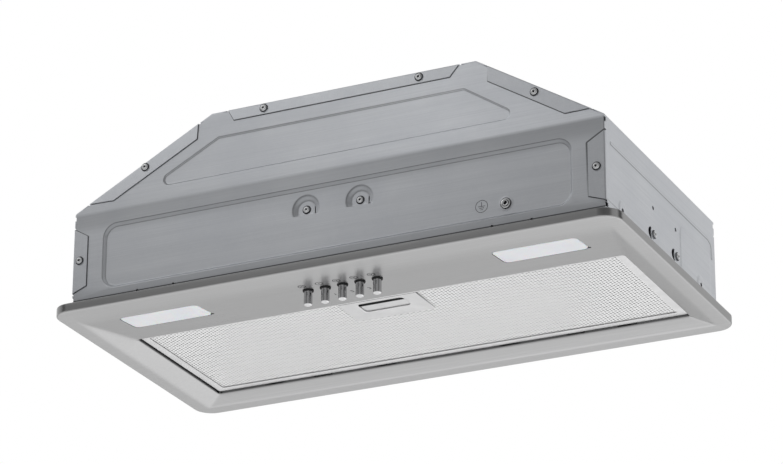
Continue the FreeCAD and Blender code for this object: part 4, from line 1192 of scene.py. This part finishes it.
# ---------------------------------------------------------------- grease filter
def build_filter_frame():
    n_, nx_, ny_ = 5, 22, 8

    def ring(x, y0, y1, r, z):
        return [(a_, b_, z) for a_, b_ in ring_pts(-x, x, y0, y1, r, n_, nx_, ny_)]

    # lip, rolled corner and the start of the upright wall
    rings = [ring(221.5, -36.5, 101.5, 1.4, 8.35), ring(221.7, -36.7, 101.7, 1.5, 8.06), ring(222.1, -37.1, 102.1, 1.7, 8.0)]
    rings += [ring(228.1, -40.1, 108.1, 1.5, 8.0)]
    for q in (22, 45, 68, 90):
        d = 1.4 * math.sin(math.radians(q))
        h = 1.4 - 1.4 * math.cos(math.radians(q))
        rings.append(ring(228.1 + d, -40.1 - d, 108.1 + d, 1.5 + d, 8.0 + h))
    rings = list(reversed(rings))
    v = [q for rg in rings for q in rg]
    parts = [(v, rings_faces(rings))]
    top = [(x, y) for x, y, _ in rings[0]]
    s_ = where_on(top, 0, -41.5)
    wv, wf, _ = wall(top, 9.4, 17.0, [(s_ - 9.6, s_ + 9.6, 11.4, 13.4)])
    parts.append((wv, [tuple(reversed(q)) for q in wf]))
    v, f = join(parts)
    return piece("filter_channel", v, f, M["filter_metal"], "grease_filter", "filter_metal", ("filter_frame",), thick=0.75, angle=40)


build_filter_frame()
lug = []
for sx in (-123.5, 123.5):
    o_ = Round([(sx - 5, 108), (sx + 5, 108), (sx + 5, 112), (sx - 5, 112)], 1.9).loop(0, 5)
    k = len(o_)
    vv = [(x, y, 8.65) for x, y in o_] + [(x, y, 9.4) for x, y in o_]
    ff = [tuple(reversed(range(k))), tuple(range(k, 2 * k))] + [(i, (i + 1) % k, k + (i + 1) % k, k + i) for i in range(k)]
    lug.append((vv, ff))
v, f = join(lug)
piece("filter_lugs", v, f, M["filter_metal"], "grease_filter", "filter_metal", bevel=0.15, seg=1, closed=True)


def expanded(name, half, x0, x1, y0, y1, z, aw, ah, strand, twist, thick, hole=None, replaces=()):
    """Expanded foil: diamond openings between twisted strands, all in one sheet."""
    v, f, key = [], [], {}

    def at(x, y, dz):
        k = (round(x * 500), round(y * 500))
        if k not in key:
            key[k] = len(v)
            v.append((x, y, z + dz))
        return key[k]

    nx = int(round((x1 - x0) / aw))
    ny = int(round((y1 - y0) / (ah / 2)))
    aw, hh = (x1 - x0) / nx, (y1 - y0) / ny
    for j in range(1, ny):
        cy = y0 + j * hh
        off = 0.5 if j % 2 else 1.0
        for i in range(nx):
            cx = x0 + (i + off) * aw
            if cx > x1 - aw * 0.4 or not half(cx):
                continue
            if hole and hole[0] - aw / 2 < cx < hole[1] + aw / 2 and hole[2] - hh < cy < hole[3] + hh:
                continue
            o_ = [at(cx - aw / 2, cy, 0), at(cx, cy - hh, -twist * 0.3), at(cx + aw / 2, cy, 0), at(cx, cy + hh, twist * 0.3)]
            hx, hy = aw / 2 - strand * 1.5, hh - strand * 0.72
            n_ = [at(cx - hx, cy, 0), at(cx, cy - hy, twist), at(cx + hx, cy, 0), at(cx, cy + hy, -twist)]
            for a_ in range(4):
                b_ = (a_ + 1) % 4
                f.append((o_[b_], o_[a_], n_[a_], n_[b_]))
    return piece(name, v, f, M["filter_mesh"], "grease_filter", "filter_mesh", replaces, thick=thick, angle=60, weld=1e-6)


CUP = (-23.2, 23.2, -32.6, 1.6)
expanded("filter_foil_left", lambda x: x < 0.01, -228.2, 228.2, -40.2, 108.2, 8.95, 6.0, 3.8, 1.1, 0.13, 0.22, CUP, ("filter_mesh_face",))
expanded("filter_foil_right", lambda x: x >= 0.01, -228.2, 228.2, -40.2, 108.2, 8.95, 6.0, 3.8, 1.1, 0.13, 0.22, CUP)


def build_latch_plate():
    outline = rect_round(-37, 37, -36.3, 5, 1.2)
    window = rect_round(-21, 21, -30, -12, 3)
    lines = []
    v2, f2 = sheet2d(outline.loop(0, 4), [window.loop(-0.5, 6)], [outline.loop(0.35, 4), outline.loop(0.7, 4), outline.loop(1.0, 4), window.loop(-0.9, 6), window.loop(-1.5, 6)], lines, (12, 10), 3)

    def hz(x, y):
        e = ease((outline.sd(x, y) + 0.6) / 0.6) * 0.35
        w = ease((0.5 + 1.0 - (window.sd(x, y))) / 1.0) * 0.35
        return 7.98 + e + w

    parts = [([(x, y, hz(x, y)) for x, y in v2], [tuple(reversed(q)) for q in f2])]
    w_ = piece("latch_plate_face", *join(parts), M["latch_sheet"], "grease_filter", "filter_metal", ("filter_latch_plate",), thick=0.75, angle=40)

    # painted shade: the front edge and upper right edge darker, and a dark band at the front of the finger window
    def shade(x, y, z):
        e_ = ease((0.75 + outline.sd(x, y)) / 0.35)
        if e_ > 0:
            return e_ * (0.75 if y < -35.4 else ease((-y - 6) / 20) * 0.9 if x > 36 else 0.1)
        d = window.sd(x, y)
        return (0.9 if y < -27 else 0.3) * ease((0.75 - d) / 0.5)

    paint(w_, shade)
    # finger cup behind the window, open downwards, with the slot for the tongue
    base = ring_pts(-22.4, 22.4, -31.9, 0.9, 3.2, 5, 6, 4)
    s_ = where_on(base, 0, -31.9)
    wv, wf, _ = wall(base, 8.7, 13.8, [(s_ - 9.6, s_ + 9.6, 11.4, 13.4)])
    rings = []
    for q in (0, 30, 60, 90):
        d = 1.4 * (1 - math.cos(math.radians(q)))
        rings.append([(x, y, 13.8 + 1.4 * math.sin(math.radians(q))) for x, y in ring_pts(-22.4 + d, 22.4 - d, -31.9 + d, 0.9 - d, 3.2 - d * 0.8, 5, 6, 4)])
    rv = [q for rg in rings for q in rg]
    k = len(rings[0])
    parts = [(wv, wf), (rv, rings_faces(rings) + [tuple(range(3 * k, 4 * k))[::-1]])]
    v, f = join(parts)
    # painted shade: the cup is black so the window in front of it stays dark
    piece("latch_cup", v, f, M["black_plastic"], "grease_filter", "black_plastic", thick=-0.5, angle=40)


build_latch_plate()


def prism(loop0, z0, z1, r=0.4, n=3):
    """Closed plate on an outline function loop(inset), with rounded upper and lower edges."""
    rings = []
    for q in range(n + 1):
        g = math.radians(90 * q / n)
        rings.append([(x, y, z0 + r - r * math.sin(math.radians(90) - g)) for x, y in loop0(r * (1 - math.sin(g)))])
    for q in range(n + 1):
        g = math.radians(90 * q / n)
        rings.append([(x, y, z1 - r + r * math.sin(g)) for x, y in loop0(r * (1 - math.cos(g)))])
    k = len(rings[0])
    v = [q for rg in rings for q in rg]
    f = rings_faces(rings) + [tuple(range(k)), tuple(reversed(range((len(rings) - 1) * k, len(rings) * k)))]
    return v, f


pad_ = prism(lambda d: rect_round(-22.1 + d, 22.1 - d, -24.2 + d, -12.4 - d, 1.2 - d * 0.9).loop(0, 5), 9.15, 13.0, 0.3)
front_ = prism(lambda d: rect_round(-20.6 + d, 20.6 - d, -25 + d, -21.4 - d, 0.9 - d * 0.5).loop(0, 5), 9.9, 13.0, 0.3)
ridge = prism(lambda d: rect_round(-14 + d, 14 - d, -20.2 + d, -17.8 - d, 1.15 - d * 0.5).loop(0, 4), 8.55, 9.6, 0.4)
tongue = prism(lambda d: rect_round(-9 + d, 9 - d, -46 + d, -24 - d, 1.0 - d * 0.5).loop(0, 4), 11.8, 13.0, 0.3)
lip_ = prism(lambda d: rect_round(-21.6 + d, 21.6 - d, -14.2 + d, -10.3 - d, 0.9 - d * 0.5).loop(0, 4), 9.16, 9.6, 0.2)
v, f = join([pad_, front_, tongue, lip_])
slider = piece("latch_slider", v, f, M["latch_sheet"], "filter_latch", "filter_metal", ("filter_latch_slide",), closed=True)
# painted shade: the front face of the slider dark, as the shade in the finger window
paint(slider, lambda x, y, z: 1.0 if y < -23.9 else 0.0)


# ---------------------------------------------------------------- lamps
TILT = math.radians(4.899)


def on_strip(x, y, sx, z):
    """From the lens's own tilted frame to the tray."""
    c, s = math.cos(TILT), math.sin(TILT)
    return (sx + x, -90 + y * c - z * s, 1.886 + y * s + z * c)


for sgn, nm in ((-1, "left"), (1, "right")):
    rows = [(6.0, -0.34), (3.0, -0.32), (1.2, -0.24), (0.45, -0.05), (0.1, 0.22), (0, 0.5), (0, 1.15)]
    rings = [[on_strip(x, y, sgn * 175.4, z) for x, y in rect_round(-37.9 + i, 37.9 - i, -15.9 + i, 15.9 - i, max(5.2 - i * 0.6, 1.4)).loop(0, 6)] for i, z in rows]
    rings += [[on_strip(x, y, sgn * 175.4, z) for x, y in rect_round(-40.9 + i, 40.9 - i, -18.9 + i, 18.9 - i, 3.4).loop(0, 6)] for i, z in ((0.2, 1.15), (0, 1.35), (0, 2.35), (0.2, 2.55))]
    k = len(rings[0])
    v = [q for rg in rings for q in rg]
    f = rings_faces(rings) + [tuple(range(k)), tuple(reversed(range((len(rings) - 1) * k, len(rings) * k)))]
    piece("lens_" + nm, v, f, M["lens"], "housing", "lens", ("lamp_lens_" + nm,), closed=True, angle=50)
    # pry notch at one corner
    t = [on_strip(x, y, sgn * 175.4, 0) for x, y in [(38.2, 13.2)]][0]
    nv, nf = prism(lambda d: Round([(t[0] - 0.5, t[1]), (t[0] + 0.3, t[1] + 0.1)], 1.25 - d).loop(0, 5), dish(t[0], t[1]) - 0.12, dish(t[0], t[1]) + 0.7, 0.1, 2)
    piece("pry_notch_" + nm, nv, nf, M["black_plastic"], "housing", "black_plastic", closed=True)

# ---------------------------------------------------------------- push buttons
for i in range(1, 6):
    bx = -53.1 + 16.2 * i
    prof = [(0, -12.0), (2.3, -11.97)] + arc(2.7, -11.1, 0.9, -90, 0, 5)
    prof += [(3.6, -10.9), (3.6, -10.0), (3.6, 9.0), (3.75, 9.3), (5.0, 9.3), (5.2, 9.5), (5.2, 10.3), (5.0, 10.5), (1.6, 10.5), (1.4, 10.7), (1.4, 16.6), (1.0, 17.0), (0, 17.0)]
    v, f = turned(prof, 48, (bx, -92.7, 0))
    cap = piece("push_button_%d" % i, v, f, M["chrome"], "push_%d" % i, "chrome", ("button_%d" % i,), closed=True, angle=45)
    # painted reflection: dark upright stripes around the chrome body stand in for dark surroundings mirrored in it
    paint(cap, lambda x, y, z, c=bx: (0.3 + 0.3 * math.cos(8 * math.atan2(y + 92.7, x - c))) if math.hypot(x - c, y + 92.7) > 3.5 and z > -11.2 else 0.0)

# the return springs, each on its own mesh
for i in range(1, 6):
    spr = refine("button_spring_%d" % i, M["spring_steel"], None, angle=50)
    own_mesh(spr)

collars = []
for i in range(1, 6):
    bx = -53.1 + 16.2 * i
    prof = [(3.72, 1.0), (3.85, 0.5), (4.1, 0.35), (4.4, 0.37), (4.66, 0.6), (4.75, 1.0), (4.75, 4.2), (3.72, 4.2), (3.72, 1.0)]
    collars.append(tube(prof, 40, (bx, -92.7, 0), "z"))
bx0, bx1 = -36.9 - 11, -36.9 + 64.8 + 12
plate = rect_round(bx0, bx1, -106, -79, 1.5)
hs = [Round([(-53.1 + 16.2 * i, -92.7)], 3.75).loop(0, 10) for i in range(1, 6)]
v2, f2 = sheet2d(plate.loop(0, 4), hs)
k = len(v2)
pv = [(x, y, 4.2) for x, y in v2] + [(x, y, 9.0) for x, y in v2]
edges_ = {}
for fc in f2:
    for a_, b_ in zip(fc, fc[1:] + fc[:1]):
        edges_[(a_, b_)] = True
rim = [(a_, b_) for (a_, b_) in edges_ if (b_, a_) not in edges_]
pf = [tuple(reversed(fc)) for fc in f2] + [tuple(q + k for q in fc) for fc in f2] + [(a_, b_, b_ + k, a_ + k) for a_, b_ in rim]
v, f = join(collars + [(pv, pf)])
piece("button_collars", v, f, M["black_plastic"], "housing", "black_plastic", ("switch_bezel",), closed=True, angle=40)


# ---------------------------------------------------------------- small printed signs
def stroke(pts, w, closed=False):
    """Flat ribbon along points, as a 2-D outline split in quads."""
    n = len(pts)
    v, f = [], []
    for i in range(n):
        a_ = Vector(pts[(i - 1) % n] if (closed or i > 0) else pts[i])
        b_ = Vector(pts[(i + 1) % n] if (closed or i < n - 1) else pts[i])
        t = (b_ - a_).normalized()
        nn = Vector((-t.y, t.x)) * w / 2
        p = Vector(pts[i])
        v += [tuple(p + nn), tuple(p - nn)]
    for i in range(n if closed else n - 1):
        j = (i + 1) % n
        f.append((2 * i, 2 * i + 1, 2 * j + 1, 2 * j))
    return v, f


def printed(name, strokes, place_, mat, body="housing", slot="black_plastic", t=0.04):
    """Thin raised ink: ribbons placed on a face by place_(x, y, height)."""
    parts = []
    for v, f in strokes:
        k = len(v)
        vv = [place_(x, y, t) for x, y in v] + [place_(x, y, -0.02) for x, y in v]
        e_ = {}
        for fc in f:
            fc = list(fc)
            for a_, b_ in zip(fc, fc[1:] + fc[:1]):
                e_[(a_, b_)] = True
        rim_ = [(a_, b_) for (a_, b_) in e_ if (b_, a_) not in e_]
        ff = list(f) + [tuple(reversed([q + k for q in fc])) for fc in f] + [(b_, a_, a_ + k, b_ + k) for a_, b_ in rim_]
        parts.append((vv, ff))
    v, f = join(parts)
    return piece(name, v, f, mat, body, slot, closed=True, weld=1e-8)


def circ(cx, cy, r, n=28, a0=0, a1=360):
    return [(cx + r * math.cos(math.radians(a0 + (a1 - a0) * i / n)), cy + r * math.sin(math.radians(a0 + (a1 - a0) * i / n))) for i in range(n if a1 - a0 == 360 else n + 1)]


def strip_at(x, y, h):
    return (x, y, dish(x, y) - h)


DIG = {
    "1": [[(-0.5, 1.0), (0.2, 1.6), (0.2, -1.6)]],
    "2": [circ(0, 0.7, 0.9, 12, 170, -30) + [(-0.9, -1.6), (1.0, -1.6)]],
    "3": [circ(0, 0.75, 0.8, 12, 150, -80), circ(0, -0.75, 0.95, 12, 80, -150)],
}
marks_ = []
for i in range(1, 6):
    bx = -53.1 + 16.2 * i
    marks_.append(stroke(circ(bx, -105.0, 3.2), 0.62, True))
# lamp sign in the first ring, 0 in the second, a rotor in the others
bx = -36.9
for g in (45, 135):
    c, s = 3.0 * math.cos(math.radians(g)), 3.0 * math.sin(math.radians(g))
    marks_.append(stroke([(bx - c, -105.0 - s), (bx + c, -105.0 + s)], 0.45))
marks_.append(stroke([(bx + 16.2, -106.4), (bx + 16.2, -103.6)], 0.6))
for i in (3, 4, 5):
    cx = -53.1 + 16.2 * i
    for g in (90, 210, 330):
        marks_.append(stroke([(cx, -105.0), (cx + 2.1 * math.cos(math.radians(g)), -105.0 + 2.1 * math.sin(math.radians(g)))], 0.7))
for i, ch in ((3, "1"), (4, "2"), (5, "3")):
    cx = -53.1 + 16.2 * i
    for ln in DIG[ch]:
        marks_.append(stroke([(cx - 17.6 + x * 1.3, -71.5 + y * 1.3) for x, y in ln], 0.6))
printed("switch_signs", marks_, strip_at, M["ink"])


def earth_at(x, z, h):
    return (x, -125.2 + 2.4 - h, z)


es = [stroke(circ(137.4, 35.6, 5.4, 40), 0.4, True), stroke([(137.4, 39.4), (137.4, 35.6)], 0.45)]
for zz, w in ((35.6, 3.1), (34.1, 2.1), (32.6, 1.1)):
    es.append(stroke([(137.4 - w, zz), (137.4 + w, zz)], 0.45))
printed("earth_sign", [(v, [tuple(reversed(q)) for q in f]) for v, f in es], earth_at, M["ink"], slot="black_plastic")

# ---------------------------------------------------------------- remaining CAD solids with softened edges
for node, b_ in (
    ("outlet_collar", 0.5),
    ("damper_flap_rear", 0.25),
    ("damper_flap_front", 0.25),
    ("lamp_housing_left", 0.5),
    ("lamp_housing_right", 0.5),
    ("switch_housing", 0.5),
    ("cable_gland", 0.5),
    ("terminal_box", 0.6),
    ("led_driver", 0.8),
    ("run_capacitor", 1.5),
    ("motor_can", 0.8),
    ("motor_end_cap", 0.8),
):
    refine(node, M[slot_of[node]], b_)


# ---------------------------------------------------------------- stage
floor_mat = Mat("studio_floor", (0.80, 0.80, 0.80), 0.0, 0.6)
fn = floor_mat.noise((0.4, 0.4, 0.4), 3, 0.5)
floor_mat.color(floor_mat.mix(fn, (0.79, 0.79, 0.79), (0.82, 0.82, 0.82)))
# painted light: a broad soft pool of light painted on the floor as emission behind the object, which its underside
# mirrors
away = floor_mat.n.new("ShaderNodeVectorMath")
away.operation = "DISTANCE"
floor_mat.l.new(floor_mat.co, away.inputs[0])
away.inputs[1].default_value = (-0.4, 9.45, -8.0)
fall = floor_mat.math("MULTIPLY", away.outputs["Value"], away.outputs["Value"])
fall = floor_mat.math("DIVIDE", fall, 185.0)
fall = floor_mat.math("ADD", fall, 1.0)
glow = floor_mat.math("DIVIDE", 0.78, floor_mat.math("MULTIPLY", fall, fall))
floor_mat.l.new(floor_mat.math("ADD", glow, 0.172), floor_mat.b.inputs["Emission Strength"])
floor_mat.b.inputs["Emission Color"].default_value = (1, 1, 1, 1)
fm = bpy.data.meshes.new("studio_floor")
FZ, FR = -8.0, 109.0
ring = 48
fm.from_pydata(
    [(0, 0, FZ)] + [(FR * math.cos(2 * math.pi * i / ring), FR * math.sin(2 * math.pi * i / ring), FZ) for i in range(ring)],
    [],
    [(0, 1 + i, 1 + (i + 1) % ring) for i in range(ring)],
)
floor = bpy.data.objects.new("studio_floor", fm)
bpy.context.scene.collection.objects.link(floor)
fm.materials.append(floor_mat.m)

world = bpy.data.worlds.new("studio")
bpy.context.scene.world = world
world.use_nodes = True
wn, wl = world.node_tree.nodes, world.node_tree.links
wn.clear()
tc = wn.new("ShaderNodeTexCoord")
sep = wn.new("ShaderNodeSeparateXYZ")
wl.new(tc.outputs["Generated"], sep.inputs[0])


def wrange(sock, a0, a1, b0, b1):
    k = wn.new("ShaderNodeMapRange")
    k.interpolation_type = "SMOOTHSTEP"
    for key, v in (("From Min", a0), ("From Max", a1), ("To Min", b0), ("To Max", b1)):
        k.inputs[key].default_value = v
    wl.new(sock, k.inputs["Value"])
    return k.outputs[0]


def wmath(op, x, y=0.0):
    k = wn.new("ShaderNodeMath")
    k.operation = op
    for i, v in enumerate((x, y)):
        if isinstance(v, bpy.types.NodeSocket):
            wl.new(v, k.inputs[i])
        else:
            k.inputs[i].default_value = v
    return k.outputs[0]


front_back = wrange(sep.outputs["Y"], -0.75, 0.15, 0.345, 0.785)
zenith = wrange(sep.outputs["Z"], 0.5, 0.95, 0.0, -0.1)
sky = wmath("ADD", front_back, zenith)
# two dark flags beside the object, as narrow upright bands
flat = wmath("SQRT", wmath("ADD", wmath("MULTIPLY", sep.outputs["X"], sep.outputs["X"]), wmath("MULTIPLY", sep.outputs["Y"], sep.outputs["Y"])))
for az, c0, c1, low in ((33, 0.955, 0.985, 0.06), (-140, 0.982, 0.994, 0.1), (-55, 0.55, 0.95, 0.55)):
    fx, fy = math.cos(math.radians(az)), math.sin(math.radians(az))
    along_ = wmath("DIVIDE", wmath("ADD", wmath("MULTIPLY", sep.outputs["X"], fx), wmath("MULTIPLY", sep.outputs["Y"], fy)), flat)
    sky = wmath("MULTIPLY", sky, wrange(along_, c0, c1, 1.0, low))
below = wrange(sep.outputs["Z"], -0.12, 0.02, 0.0, 1.0)
lower = wmath("MULTIPLY", wmath("SUBTRACT", 1.0, below), 0.6)
radiance = wmath("ADD", wmath("MULTIPLY", sky, below), lower)
seen = wn.new("ShaderNodeLightPath").outputs["Is Camera Ray"]
strength = wmath("ADD", wmath("MULTIPLY", radiance, wmath("SUBTRACT", 1.0, seen)), seen)
bg = wn.new("ShaderNodeBackground")
wl.new(strength, bg.inputs["Strength"])
bg.inputs["Color"].default_value = (1, 1, 1, 1)
wout = wn.new("ShaderNodeOutputWorld")
wl.new(bg.outputs[0], wout.inputs[0])


def area(name, loc, aim, size, power, color=(1, 1, 1)):
    d = bpy.data.lights.new(name, "AREA")
    d.shape = "RECTANGLE"
    d.size, d.size_y = size
    d.energy = power
    d.color = color
    o = bpy.data.objects.new(name, d)
    bpy.context.scene.collection.objects.link(o)
    o.location = loc
    o.rotation_euler = (Vector(aim) - Vector(loc)).to_track_quat("-Z", "Y").to_euler()
    return o


area("key_light", (-0.95, -1.25, 1.1), (-0.1, -0.12, 0.16), (1.1, 0.5), 2.2)
bpy.context.scene.view_settings.view_transform = "Standard"
bpy.context.scene.view_settings.look = "None"
